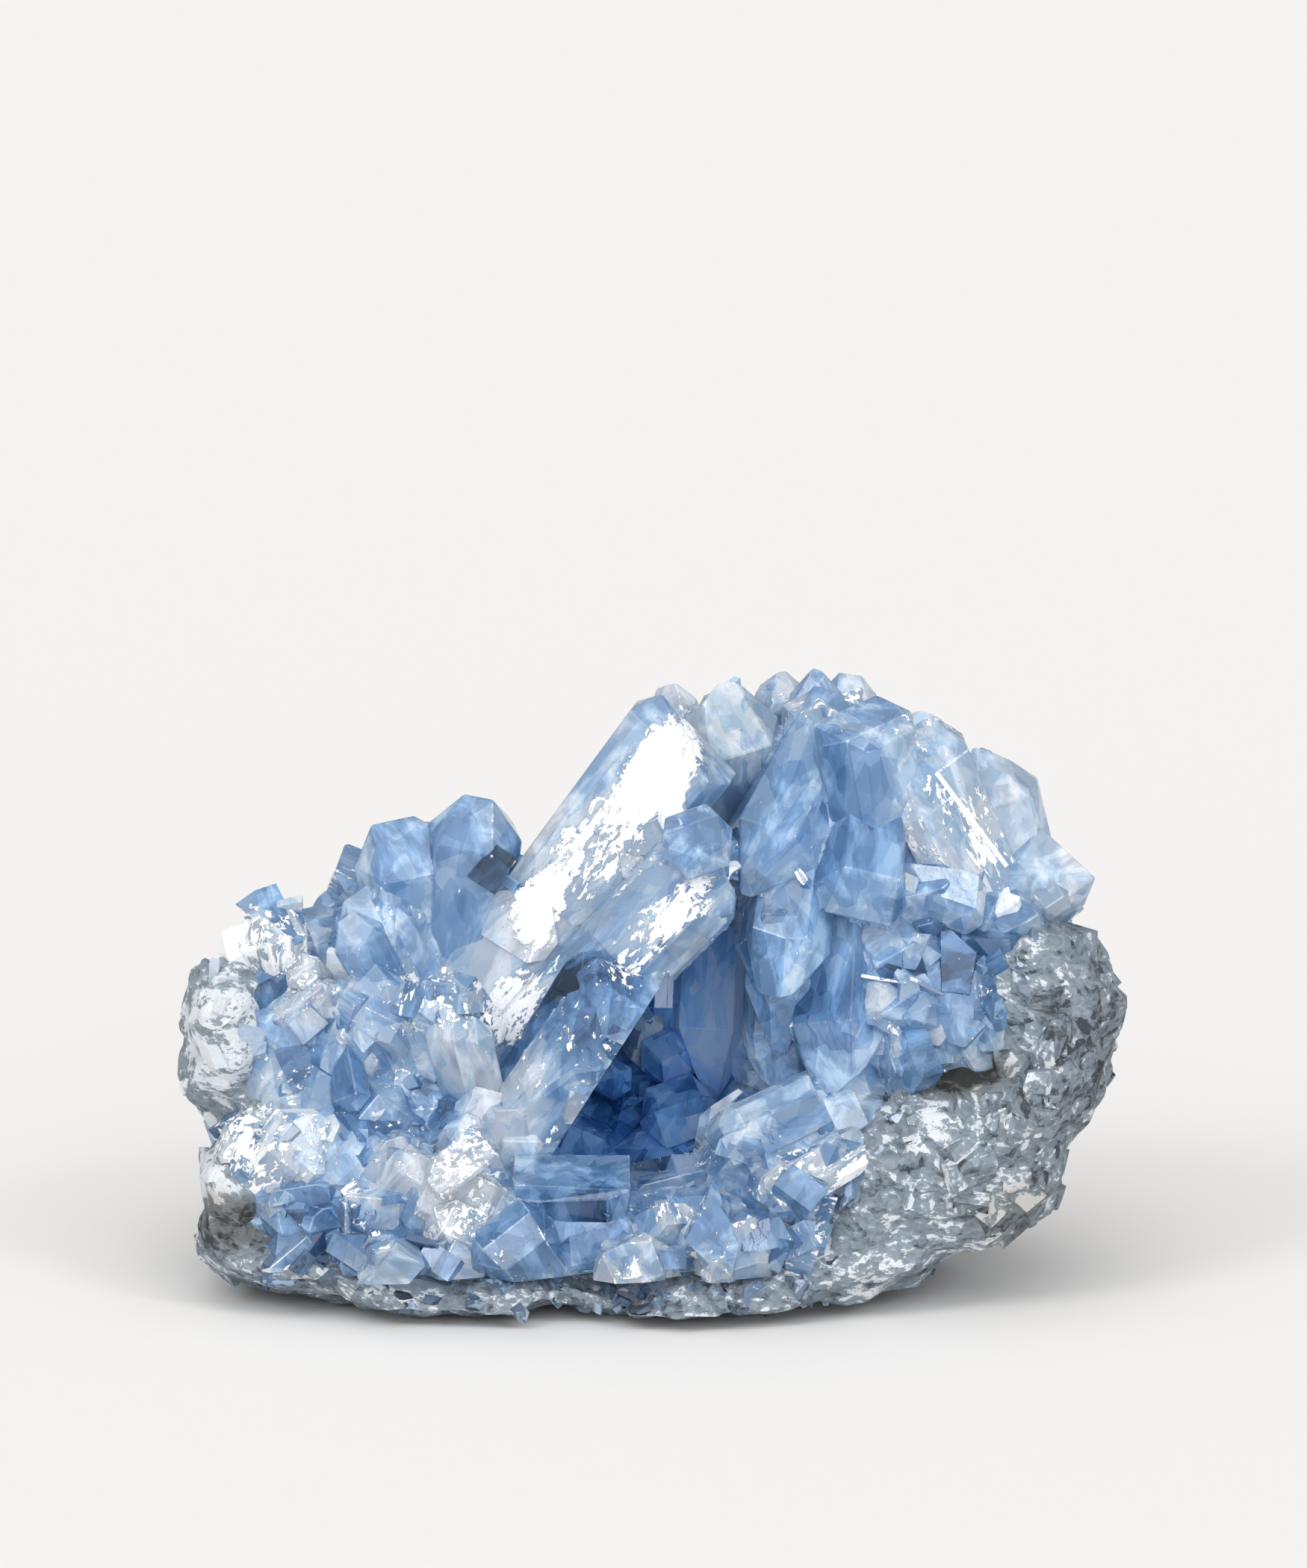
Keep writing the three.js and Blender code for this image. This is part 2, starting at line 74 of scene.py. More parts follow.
def linear(hexColour):
    parts = [int(hexColour[i:i + 2], 16) / 255 for i in (1, 3, 5)]
    return tuple(p / 12.92 if p <= 0.04045 else ((p + 0.055) / 1.055) ** 2.4 for p in parts) + (1.0,)


def perMm(size):
    return 1000.0 / size  # a texture scale that gives features of this many mm


def addNode(tree, kind, settings=None, inputs=None, output=0):
    node = tree.nodes.new(kind)
    for name, value in (settings or {}).items():
        setattr(node, name, value)
    for name, value in (inputs or {}).items():
        if isinstance(value, bpy.types.NodeSocket):
            tree.links.new(value, node.inputs[name])
        else:
            node.inputs[name].default_value = value
    return node.outputs[output] if len(node.outputs) else node


def scaled(tree, value, factor, plus=0.0, held=False):
    # value times factor, plus another, and held between 0 and 1 where asked
    return addNode(tree, "ShaderNodeMath", {"operation": "MULTIPLY_ADD", "use_clamp": held}, {
        0: value, 1: factor, 2: plus})


def added(tree, value, other, held=False):
    return addNode(tree, "ShaderNodeMath", {"operation": "ADD", "use_clamp": held}, {0: value, 1: other})


def blended(tree, share, first, second, how="MIX"):
    return addNode(tree, "ShaderNodeMix", {"data_type": "RGBA", "blend_type": how}, {
        0: share, 6: first, 7: second}, output=2)


def rampOf(tree, value, stops):
    socket = addNode(tree, "ShaderNodeValToRGB", None, {0: value})
    ramp = socket.node.color_ramp
    while len(ramp.elements) < len(stops):
        ramp.elements.new(0.5)
    for element, (place, colour) in zip(ramp.elements, stops):
        element.position = place
        element.color = linear(colour) if isinstance(colour, str) else (colour, colour, colour, 1.0)
    return socket


def faceValue(tree, name):
    return addNode(tree, "ShaderNodeAttribute", {"attribute_name": name}, output=2)


def faceWay(tree):
    return addNode(tree, "ShaderNodeAttribute", {"attribute_name": "growth"}, output=1)


def newMaterial(name):
    made = bpy.data.materials.new(name)
    made.use_nodes = True
    made.node_tree.nodes.clear()
    return made, made.node_tree


def meshObject(name, bm):
    mesh = bpy.data.meshes.new(name)
    bm.to_mesh(mesh)
    bm.free()
    return addObject(name, mesh)


def addObject(name, data):
    made = bpy.data.objects.new(name, data)
    bpy.context.scene.collection.objects.link(made)
    return made


def applyModifiers(piece):
    shown = bpy.context.evaluated_depsgraph_get()
    done = bpy.data.meshes.new_from_object(piece.evaluated_get(shown), depsgraph=shown)
    old = piece.data
    piece.modifiers.clear()
    piece.data = done
    bpy.data.meshes.remove(old)
    return piece


def dropObject(piece):
    mesh = piece.data
    bpy.data.objects.remove(piece)
    bpy.data.meshes.remove(mesh)


def copyOfNode(nodeName, name):
    # a solid of the part, in design mm, with its loose triangles merged
    bm = bmesh.new()
    bm.from_mesh(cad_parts[nodeName].data)
    bmesh.ops.transform(bm, matrix=toDesign, verts=bm.verts)
    bmesh.ops.remove_doubles(bm, verts=bm.verts, dist=0.001)
    return meshObject(name, bm)


def remesh(piece, voxel, sink=0.0):
    # even faces, and a surface that lies this much deeper
    even = piece.modifiers.new("even", "REMESH")
    even.mode, even.voxel_size = "VOXEL", voxel
    if sink:
        drawn = piece.modifiers.new("sink", "DISPLACE")
        drawn.strength, drawn.mid_level = -sink, 0
    return applyModifiers(piece)


def joinSolids(first, others, operation="UNION"):
    # the others become part of the first, or are cut out of it
    group = bpy.data.collections.new("joining")
    bpy.context.scene.collection.children.link(group)
    for other in others:
        bpy.context.scene.collection.objects.unlink(other)
        group.objects.link(other)
    step = first.modifiers.new("join", "BOOLEAN")
    step.operation, step.solver = operation, "MANIFOLD"
    step.operand_type, step.collection = "COLLECTION", group
    applyModifiers(first)
    for other in others:
        dropObject(other)
    bpy.data.collections.remove(group)


def keepLargest(piece):
    # drops the loose parts
    bm = bmesh.new()
    bm.from_mesh(piece.data)
    seen, parts = set(), []
    for start in bm.verts:
        if start in seen:
            continue
        part, edgeOfPart = [], [start]
        seen.add(start)
        while edgeOfPart:
            vert = edgeOfPart.pop()
            part.append(vert)
            for edge in vert.link_edges:
                other = edge.other_vert(vert)
                if other not in seen:
                    seen.add(other)
                    edgeOfPart.append(other)
        parts.append(part)
    parts.sort(key=len)
    loose = [vert for part in parts[:-1] for vert in part]
    bmesh.ops.delete(bm, geom=loose, context="VERTS")
    bm.to_mesh(piece.data)
    bm.free()


def finishPiece(piece, material, node):
    for vert in piece.data.vertices:
        vert.co = [clamp(vert.co[i], boxLow[i], boxHigh[i]) for i in range(3)]
    piece.data.transform(toRow)
    piece.data.materials.clear()
    piece.data.materials.append(material)
    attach(piece, "root")
    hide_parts(node)
    print("made", piece.name, "with", len(piece.data.polygons), "faces")


def sameNumbers(seed):
    # the repeatable numbers that the part's source draws, so the crystals come out the same
    state = seed

    def times(a, b):
        return (a * b) & 0xFFFFFFFF

    def draw():
        nonlocal state
        state = (state + 0x6D2B79F5) & 0xFFFFFFFF
        mixed = times(state ^ (state >> 15), 1 | state)
        mixed = ((mixed + times(mixed ^ (mixed >> 7), 61 | mixed)) & 0xFFFFFFFF) ^ mixed
        return ((mixed ^ (mixed >> 14)) & 0xFFFFFFFF) / 2 ** 32
    return draw


def clamp(value, low=0.0, high=1.0):
    return max(low, min(high, value))


def straying(rng, most):
    return Vector([rng.uniform(-most, most) for _ in range(3)])


# What each face carries to its material: how deep its colour, with painted shade on some sides and facets,
# how white it is from etching and from painted glare and highlights, how stained, how blue (rock only),
# a number of its crystal's own, and the way the crystal grew.
faceValues = ("tone", "frost", "stain", "blue", "own")
faceLook = {
    "unevenTone": 0.12,  # from face to face of one crystal
    "unevenFrost": 0.1,
    "squarely": 0.93,  # how squarely the broad face looks out
    "slim": 0.3,  # most area of a worn edge, beside its width times the length round it
    "edgeHighlightTone": -0.25,  # worn edges are painted paler, a painted highlight
    # worn edges are also painted whiter, a painted highlight
    "edgeHighlightWhite": 0.15,
}


def lengthRound(face):
    return sum(edge.calc_length() for edge in face.edges)


def writeFaces(bm, look, rng, way, out=None, edge=0.0):
    layers = {name: bm.faces.layers.float.new(name) for name in faceValues}
    growth = bm.faces.layers.float_vector.new("growth")
    own = rng.random()
    side = way.cross(out) if out else way
    for face in bm.faces:
        tone = look.get("tone", 0.4) + rng.uniform(-1, 1) * look.get("spread", faceLook["unevenTone"])
        frost = look.get("frost", 0.0) + rng.uniform(-faceLook["unevenFrost"], faceLook["unevenFrost"])
        if out:
            # side paints the faces on one side of the crystal deeper: painted shade
            tone += look.get("side", 0.0) * face.normal.dot(side)
            # the broad face, turned squarely out, is painted white as a painted glare
            if face.normal.dot(out) > faceLook["squarely"]:
                frost += look.get("glare", 0.0)
        # worn edges get a painted highlight: a paler tone and more white
        if edge and face.calc_area() < faceLook["slim"] * edge * lengthRound(face):
            tone, frost = tone + faceLook["edgeHighlightTone"], frost + faceLook["edgeHighlightWhite"]
        face[layers["tone"]] = clamp(tone, 0, 2)
        face[layers["frost"]] = clamp(frost)
        face[layers["stain"]] = look.get("stain", 0.0)
        face[layers["blue"]] = look.get("blue", 0.0)
        face[layers["own"]] = own
        face[growth] = way


def wrap(bm):
    # the hull of what is there
    bmesh.ops.delete(bm, geom=bm.edges[:], context="EDGES_FACES")
    bmesh.ops.remove_doubles(bm, verts=bm.verts, dist=0.01)
    hull = bmesh.ops.convex_hull(bm, input=bm.verts)
    inner = [g for g in hull["geom_interior"] if isinstance(g, bmesh.types.BMVert)]
    bmesh.ops.delete(bm, geom=inner, context="VERTS")
    bmesh.ops.recalc_face_normals(bm, faces=bm.faces)


def hullOf(places):
    bm = bmesh.new()
    for place in places:
        bmesh.ops.create_vert(bm, co=place)
    wrap(bm)
    return bm


def chip(bm, normal, depth):
    # cuts this much off on one side
    reach = max(normal.dot(vert.co) for vert in bm.verts)
    bmesh.ops.bisect_plane(bm, geom=bm.verts[:] + bm.edges[:] + bm.faces[:],
                           plane_co=normal * (reach - depth), plane_no=normal, clear_outer=True)
    wrap(bm)


def standOn(bm, level):
    # cuts it flat at this height, or just over the ground where it is too low for that
    low, top = [find(vert.co.z for vert in bm.verts) for find in (min, max)]
    level = level if level < top - 0.5 else 0.05
    if low < level:
        chip(bm, Vector((0, 0, -1)), level - low)


def flatten(bm, degrees=1.5):
    # the triangles of a flat face become one face
    bmesh.ops.dissolve_limit(bm, angle_limit=math.radians(degrees), verts=bm.verts, edges=bm.edges)


habit = {
    "flat": 0.58,  # share of the width that the broad faces take
    "point": 0.42,  # length of the point as a share of the width
    "ridge": 0.4,  # how wide its end is, as a share
    "foot": 0.9,  # how wide it is at its root, as a share
    "edge": 0.16,  # how far the edges are worn, mm
    "chipTilt": (20, 70),  # degrees from the way it grew
    "chipDepth": (0.03, 0.13),  # share of the thickness
}


def grown(root, tip, wide, thick, roll=0, **more):
    return dict(more, root=Vector(root), tip=Vector(tip), wide=wide, thick=thick, roll=roll)


def crystalAxes(c):
    along = (c["tip"] - c["root"]).normalized()
    out = Vector((0, 0, 1)) if abs(along.y) > 0.9 else Vector((0, -1, 0))
    out = (out - along * out.dot(along)).normalized()
    out.rotate(Matrix.Rotation(math.radians(c["roll"]), 3, along))
    return along, out, along.cross(out)


def crystalBody(c, rng, chips, worn):
    along, out, across = crystalAxes(c)
    root, tip = c["root"], c["tip"]
    w, t = c["wide"] / 2, c["thick"] / 2
    flat, foot = c.get("flat", habit["flat"]), habit["foot"]
    ridge, blunt = c.get("ridge", habit["ridge"]), c.get("blunt", 0)
    lean, skew = c.get("lean", 0), c.get("skew", 0)
    shoulder = tip - along * c.get("point", habit["point"] * c["wide"])
    ring = [(w, 0), (w * flat, t), (-w * flat, t), (-w, 0), (-w * flat, -t), (w * flat, -t)]
    places = [root + (across * a + out * b) * foot for a, b in ring]
    places += [shoulder + across * a + out * b for a, b in ring]
    for a in (-1, 1):
        back = tip - along * skew * (1 + a) / 2
        for b in ((-1, 1) if blunt > 0 else (0,)):
            places.append(back + across * a * ridge * w + out * (lean + b * blunt) * t)
    bm = hullOf(places)
    for _ in range(chips):  # uneven growth takes a little off the end at odd angles
        tilt, around = math.radians(rng.uniform(*habit["chipTilt"])), rng.uniform(0, 2 * math.pi)
        side = across * math.cos(around) + out * math.sin(around)
        depth = rng.uniform(*habit["chipDepth"]) * c["thick"]
        chip(bm, along * math.cos(tilt) + side * math.sin(tilt), depth)
    flatten(bm)
    if worn:
        bmesh.ops.bevel(bm, geom=bm.edges[:], offset=worn, offset_type="OFFSET", segments=1,
                        profile=0.5, affect="EDGES", material=-1, clamp_overlap=True)
        wrap(bm)
        flatten(bm, 1)
    return bm


def crystalObject(c, rng, chips=0, worn=habit["edge"]):
    along, out, across = crystalAxes(c)
    bm = crystalBody(c, rng, c.get("chips", chips), worn)
    standOn(bm, bed["foot"])
    writeFaces(bm, c, rng, along, out, worn * 2)
    return meshObject("crystal", bm)


lump = {
    "skew": 0.5,
    "wide": (0.8, 1.2),
    "deep": (0.5, 0.9),
    "tall": (0.7, 1.1),
    "corner": (0.1, 0.28),  # share of it that a broken corner takes
    "buried": 0.42,  # share of its height
}


def fragmentObject(place, way, size, look, rng, slab=1.0, chips=3, foot=0.05):
    # a broken angular lump: a skewed block with some corners gone
    bm = bmesh.new()
    bmesh.ops.create_cube(bm, size=1.0)
    turn = way.to_track_quat("Z", "Y").to_matrix() @ Matrix.Rotation(rng.uniform(0, math.pi), 3, "Z")
    skew = Matrix([[1, rng.uniform(-lump["skew"], lump["skew"]), 0], [0, 1, 0], [0, 0, 1]])
    stretch = Matrix.Diagonal((size * rng.uniform(*lump["wide"]), size * rng.uniform(*lump["deep"]),
                               size * slab * rng.uniform(*lump["tall"])))
    put = Matrix.Translation(place) @ (turn @ skew @ stretch).to_4x4()
    bmesh.ops.transform(bm, matrix=put, verts=bm.verts)
    for _ in range(chips):
        corner = turn @ Vector((rng.uniform(-1, 1), rng.uniform(-1, 1), rng.uniform(0, 0.7))).normalized()
        reach = [corner.dot(vert.co) for vert in bm.verts]
        chip(bm, corner, rng.uniform(*lump["corner"]) * (max(reach) - min(reach)))
    for vert in bm.verts:
        vert.co = [clamp(vert.co[i], boxLow[i] + 0.05, boxHigh[i] - 0.05) for i in range(3)]
    wrap(bm)
    standOn(bm, foot)
    flatten(bm)
    writeFaces(bm, look, rng, way)
    return meshObject("fragment", bm)


terrace = {
    "corner": 0.16,  # share of its width that its corners are cut back
    "stray": 0.012,  # share of the crystal's length that a corner strays
    "buried": 1.5,  # mm
}


def terraceObject(c, low, high, left, right, lift, look, rng):
    # a growth step on the broad face of a crystal, from one share of its length to another
    along, out, across = crystalAxes(c)
    length = (c["tip"] - c["root"]).length
    w, t = c["wide"] / 2 * c.get("flat", habit["flat"]), c["thick"] / 2
    cut = terrace["corner"] * (right - left)
    plan = [(low, left + cut), (low + 0.02, right - cut), (low + 0.05, right), (high - 0.09, right),
            (high, right - 3 * cut), (high - 0.01, left + 2 * cut), (high - 0.1, left), (low + 0.08, left)]
    places = []
    for share, a in plan:
        share += rng.uniform(-terrace["stray"], terrace["stray"])
        for depth in (t - terrace["buried"], t + lift):
            places.append(c["root"] + along * length * share + across * a * w + out * depth)
    bm = hullOf(places)
    flatten(bm)
    writeFaces(bm, look, rng, along, out)
    return meshObject("terrace", bm)


streak = {
    "longest": 20.0,  # mm; longer than this it would bridge a gap
    "facing": 1.2,  # how much it is turned to the front
    "buried": 2.0,  # mm
    "proud": 0.3,  # mm, and again as much for each mm of width
    "shares": (0.9, 1.0, 0.75),  # of the width at its start, middle and end
}


def streakObject(tree, ends, width, look, rng):
    # a proud strip between two places seen from the front, that carries a painted highlight along an edge, a
    # painted dark reflection on a facet, or painted shade in a slot, as its look says
    (first, normal), (last, other) = [seenAt(tree, x, high) for x, high in ends]
    if first is None or last is None or (first - last).length > streak["longest"]:
        return None
    along = (last - first).normalized()
    out = (normal + other + viewBack * streak["facing"]).normalized()
    across = along.cross(out).normalized()
    places = []
    for place, share in zip((first, first.lerp(last, 0.5), last), streak["shares"]):
        for a in (-0.5, 0.5):
            for lift in (-streak["buried"], streak["proud"] + streak["proud"] * width):
                places.append(place + across * a * width * share * rng.uniform(0.8, 1.2) + out * lift)
    bm = hullOf(places)
    flatten(bm)
    writeFaces(bm, look, rng, along)
    return meshObject("streak", bm)


# The crystals that show best, from left to right: root, tip, width, thickness and roll about the
# way it grew. tone is how deep a blue, then how white it is from etching and from painted glare, glare a
# painted highlight that whitens the broad face alone, side a painted shade that deepens one side, and busy
# how much grows on it, all of it unless said.
leftCrystals = [
    grown((-48, -2, 39), (-50, -6, 52), 9, 8, 20, ridge=0.5, tone=0.15, frost=0.45),
    grown((-50, 0, 38.5), (-55.5, -4, 48.5), 7, 6, -10, tone=0.1, frost=0.5),
    grown((-42, 0, 37.5), (-44.5, -4, 49.5), 6, 5, 30, tone=0.3, frost=0.2),
    grown((-34.5, 6, 40), (-40.5, 2, 54.5), 8, 6, 10, ridge=0.6, tone=0.7),
    grown((-29.5, -4, 35.5), (-39, -9, 54), 13, 10, 22, ridge=0.3, tone=0.55, busy=0.5),
    grown((-30, 2, 40), (-33, -6, 63.5), 14, 12, 10, ridge=0.55, tone=0.5, busy=0),
    grown((-25, 0, 40), (-22.5, -9, 67), 13, 11, -12, ridge=0.3, tone=0.55, busy=0),
    grown((-43, -2, 34), (-47, -15, 40.5), 12, 9, 10, ridge=0.6, tone=0.2, frost=0.3),
    grown((-36, -4, 33), (-39.5, -18, 39), 12, 9, 35, ridge=0.5, tone=0.2, frost=0.3),
    grown((-28, -6, 32), (-30, -19.5, 37.5), 13, 10, -25, ridge=0.7, tone=0.3, frost=0.2),
    grown((-29.5, -8, 28), (-39, -17, 43), 12, 9, 25, ridge=0.7, tone=0.45),
    grown((-24, -10, 25), (-28, -20, 44), 11, 8, -30, ridge=0.5, tone=0.4),
    grown((-45, -10, 37), (-42, -22, 23.5), 9, 6, 15, point=9, ridge=0.1, tone=0.7),
    grown((-33, -8, 21), (-37.5, -22.5, 27), 11, 9, 15, ridge=0.5, tone=0.4, frost=0.2),
    grown((-52, -16, 14), (-43, -25, 27), 11, 8, -10, ridge=0.2, tone=0.1, frost=0.4),
    grown((-34, -14, 12), (-34, -27, 24), 12, 9, 20, ridge=0.25, tone=0.2, frost=0.2),
    grown((-22, -8, 20), (-27.5, -20, 25.5), 11, 9, 40, ridge=0.5, tone=0.95),
    grown((-19, -8, 18), (-18.5, -22, 27), 10, 8, 5, ridge=0.3, tone=0.4),
    grown((-30.5, -20, 10), (-23, -33, 20.5), 14, 10, 10, ridge=0.8, tone=0.12, frost=0.25),
    grown((-35, -16, 8), (-36.5, -31.5, 17), 12, 9, -15, ridge=0.6, tone=0.3, frost=0.2),
    grown((-45, -18, 8), (-46, -29, 18), 12, 8, 5, ridge=0.6, tone=0.65),
    grown((-32, -25, 4.5), (-37, -35, 10), 9, 7, 25, tone=0.7),
    grown((-46, -20, 4), (-48, -30, 9), 11, 7, 20, ridge=0.7, tone=0.4, stain=0.4),
]
blades = [
    grown((-25.5, -3, 33), (6.5, -14, 77.5), 17, 10, -20,
          ridge=0.75, skew=5, flat=0.85, point=3, tone=0.3, glare=0.12, busy=0, chips=0),
    grown((-22, -8, 26), (8.5, -21, 60.5), 15, 9, -24,
          ridge=0.6, flat=0.7, point=4, tone=0.4, glare=0.1, busy=0, chips=0),
    grown((-20, -12, 20), (-4, -20, 46), 13, 9, 14,
          ridge=0.8, flat=0.66, point=3, tone=1.05, busy=0, chips=1),
    grown((-28, -9, 8), (-19.5, -19.5, 29), 13, 9, 8, ridge=0.5, flat=0.66, point=7, tone=0.4, chips=2),
    grown((7, -10, 58), (6.5, -29, 64.8), 10, 9, 20,
          ridge=0.75, blunt=0.5, point=2, tone=0.6, busy=0, chips=1),
]
topCrystals = [
    grown((12.5, 6, 58), (9.5, -4, 81.5), 15, 12, 18,
          ridge=0.3, point=8, tone=0.32, stain=0.7, busy=0, chips=3),
    grown((6.5, 8, 68), (2.5, 6, 79.5), 7, 5, -20, tone=0.1, frost=0.3, busy=0),
    grown((17.5, 12, 66), (18, 8, 81), 7.5, 6, 15, ridge=0.15, tone=0.3, frost=0.2, busy=0),
    grown((22.5, 8, 66), (22.5, 4, 82.5), 8, 7, -25, ridge=0.05, point=5, tone=0.45, busy=0),
    grown((26, 14, 66), (27, 11, 80.5), 8, 6, 10, ridge=0.3, tone=0.2),
    grown((34, 8, 62), (37, 5, 76), 8, 7, 0, ridge=0.3, tone=0.2),
    grown((37.5, 8, 58), (40.5, 6, 71.5), 7, 6, 25, tone=0.2, frost=0.3),
    grown((51, 4, 47), (44, -3, 73.5), 13, 9, 12, ridge=0.05, point=8, tone=0.35, busy=0),
    grown((45, 2, 45), (56, -3, 58.5), 13, 9, -10, ridge=0.8, point=4, tone=0.3, busy=0),
]
rightCrystals = [
    grown((26, 3, 76), (13, -17, 55), 14, 11, 25, ridge=0.1, point=8, tone=0.62, busy=0, chips=0),
    # one side of this column is painted deeper, a painted shade
    grown((31, -2, 49), (28.5, -11, 78), 14, 12, 38, ridge=0.8, blunt=0.6, point=1.5,
          tone=0.5, side=-0.2, busy=0, chips=0),
    grown((30, 0, 70), (28, -18, 52), 13, 11, -12, ridge=0.7, point=4, tone=0.68, busy=0, chips=0),
    grown((46.5, 0, 48), (34.5, -7, 75.5), 15, 11, 32, ridge=0.6, point=5, tone=0.3, frost=0.3, busy=0.5),
    grown((18, -5, 57), (17.5, -19, 34), 10, 8, -18, ridge=0.2, point=9, tone=0.75, busy=0),
    grown((26.5, -2, 56), (24.5, -21, 29), 14, 11, 22, ridge=0.4, point=8, tone=0.7, busy=0, chips=2),
    grown((17.5, -2, 50), (17.5, -15, 29), 10, 8, 8, ridge=0.5, point=6, tone=0.66, busy=0, chips=1),
    grown((20, -8, 60), (17, -21, 42), 13, 8, 14, ridge=0.3, point=7, tone=0.7, busy=0, chips=2),
    grown((38, 2, 52), (36.5, -15, 55), 12, 9, 15, ridge=0.6, tone=0.6),
    grown((42, 4, 50), (42, -12, 50.5), 12, 9, -20, ridge=0.5, tone=0.5),
    grown((47, 4, 46), (49, -11, 49.5), 12, 9, 30, ridge=0.6, tone=0.35),
    grown((44, 4, 39), (46, -13, 42), 12, 9, -10, ridge=0.5, tone=0.5),
    grown((46.5, 2, 42), (28.5, -14, 48.5), 13, 9, 62, ridge=0.7, point=4, tone=0.4),
    grown((45, -2, 35), (29, -18, 42.5), 12, 9, 70, ridge=0.8, point=4, tone=0.4),
    grown((40, -4, 30), (32, -20, 35), 11, 8, 50, ridge=0.6, tone=0.5),
    grown((36, -6, 26), (24, -20, 31), 11, 8, 45, ridge=0.7, point=3, tone=0.6),
]
floorCrystals = [
    grown((-9.5, -20, 2), (-10, -26, 19.5), 16, 12, 0, ridge=0.95, blunt=0.9, point=1, tone=0.75, busy=0),
    grown((-12.5, -26, 3), (-19.5, -36.5, 14.5), 11.5, 9, 10,
          ridge=0.7, blunt=0.4, point=3, tone=0.7, frost=0.15, busy=0),
    grown((31, -11, 29), (10.5, -29, 22.5), 8, 7, 12, ridge=0.5, point=4, tone=0.35),
    grown((28, -22, 22), (16.5, -33.5, 17.5), 7, 6, 30, ridge=0.6, point=2, tone=0.15, frost=0.35),
    grown((37, -8, 28.5), (24.5, -22, 25.5), 8, 6, 15, ridge=0.8, point=3, tone=0.5),
    grown((36, -12, 22), (22.5, -27, 20.5), 8, 6, -8, ridge=0.8, point=3, tone=0.5),
    grown((4, -12, 8), (3, -23, 18), 12, 9, 10, ridge=0.8, tone=0.5),
    grown((14, -8, 10), (12, -22, 17.5), 11, 8, -15, ridge=0.6, tone=0.4),
    grown((-1, -28, 3), (-3, -37.5, 12), 11, 8, 15, ridge=0.6, tone=0.2, frost=0.2),
    grown((8, -23, 6), (4, -33, 16.5), 10, 7, -20, ridge=0.3, tone=0.1, frost=0.25),
    grown((13.5, -26, 4), (11, -37, 14.5), 11, 8, 5, ridge=0.6, tone=0.2, frost=0.15),
    grown((-22, -24, 4), (-26.5, -35, 10), 11, 8, 30, ridge=0.5, tone=0.15, frost=0.2),
]
hollowList = [
    grown((10, 15, 58), (8.5, 10, 22), 13, 8, 16, ridge=0.1, point=10, tone=0.25, chips=1),
    grown((15, 15, 50), (14.5, 9.5, 20), 9, 7, -20, ridge=0.2, point=8, tone=0.25),
    grown((3, 18, 50), (2.5, 14, 26), 8, 7, -8, ridge=0.2, point=8, tone=0.5),
    grown((5, 18, 15), (4, 3.5, 23), 11, 9, 12, ridge=0.6, point=3),
    grown((-9, 16, 11), (-8, 4, 19), 10, 8, -18, ridge=0.5),
    grown((2, 22, 26), (3, 8, 28.5), 8, 7, 25, ridge=0.3),
    grown((-5, 20, 22), (-5, 6, 26.5), 6.5, 5, -30, ridge=0.2),
    grown((8, 22, 38), (6, 10, 36), 9, 7, 8, ridge=0.4),
    grown((-2, 22, 34), (-1, 11, 33), 7.5, 6, -12, ridge=0.4),
    grown((6, 22, 47), (5, 10, 44), 8, 6, 30, ridge=0.2),
    grown((-12, 20, 26), (-12, 9, 28), 8, 7, 15, ridge=0.5),
    grown((12, 18, 17), (11, 3.5, 19.5), 9, 8, 25, ridge=0.5),
    grown((-2, 14, 9), (-2, 4, 14.5), 10, 7, 10, ridge=0.7),
]

# More crystals over the top and back, on rounded masses as in the part's source.
cores = [
    {"centre": (-35, 0, 21), "radii": (20, 20, 20), "sprout": 5},
    {"centre": (26, 8, 36), "radii": (32, 20, 32), "sprout": 12},
    {"centre": (-5, -11, 7), "radii": (50, 22, 8), "sprout": 0},
    {"centre": (-10, 17, 30), "radii": (30, 15, 22), "sprout": 11, "tall": 0.7},
    {"centre": (3, 12, 44), "radii": (15, 13, 21), "sprout": 5, "tall": 0.8},
]
sprout = {  # mm
    "from": 0.6,  # share of the way down from the top that they grow on
    "front": 0.05,  # the front has its own crystals
    "short": 4,
    "long": 8,
    "slim": 9,
    "stout": 14,
    "stray": 0.4,
    "buried": 7,
    "firstSeed": 11,
}


def sproutsOn(core, seed):
    # spread evenly round the mass by the golden angle
    draw, made, step = sameNumbers(seed), [], 0
    turn = math.pi * (3 - math.sqrt(5))
    while len(made) < core["sprout"]:
        up = 1 - (sprout["from"] * (step + 0.5)) / core["sprout"]
        flatWay, angle = math.sqrt(1 - up * up), step * turn
        step += 1
        if math.sin(angle) * flatWay < sprout["front"]:
            continue
        way = Vector((math.cos(angle) * flatWay, math.sin(angle) * flatWay, up))
        base = Vector([w * r + m for w, r, m in zip(way, core["radii"], core["centre"])])
        normal = Vector([w / r for w, r in zip(way, core["radii"])]).normalized()
        normal = (normal + Vector([sprout["stray"] * (2 * draw() - 1) for _ in range(3)])).normalized()
        share = draw() ** 1.5
        tall = core.get("tall", 1) * (sprout["short"] * (1 - share) + sprout["long"] * share)
        share = draw()
        wide = sprout["slim"] * (1 - share) + sprout["stout"] * share
        made.append(grown(base - normal * sprout["buried"], base + normal * tall, wide,
                          wide * (0.65 + 0.3 * draw()), 180 * draw(), ridge=0.6 * draw(),
                          lean=draw() - 0.5, tone=0.45))
    return made


def treeOf(piece):
    corners = [vert.co for vert in piece.data.vertices]
    return BVHTree.FromPolygons(corners, [face.vertices[:] for face in piece.data.polygons])


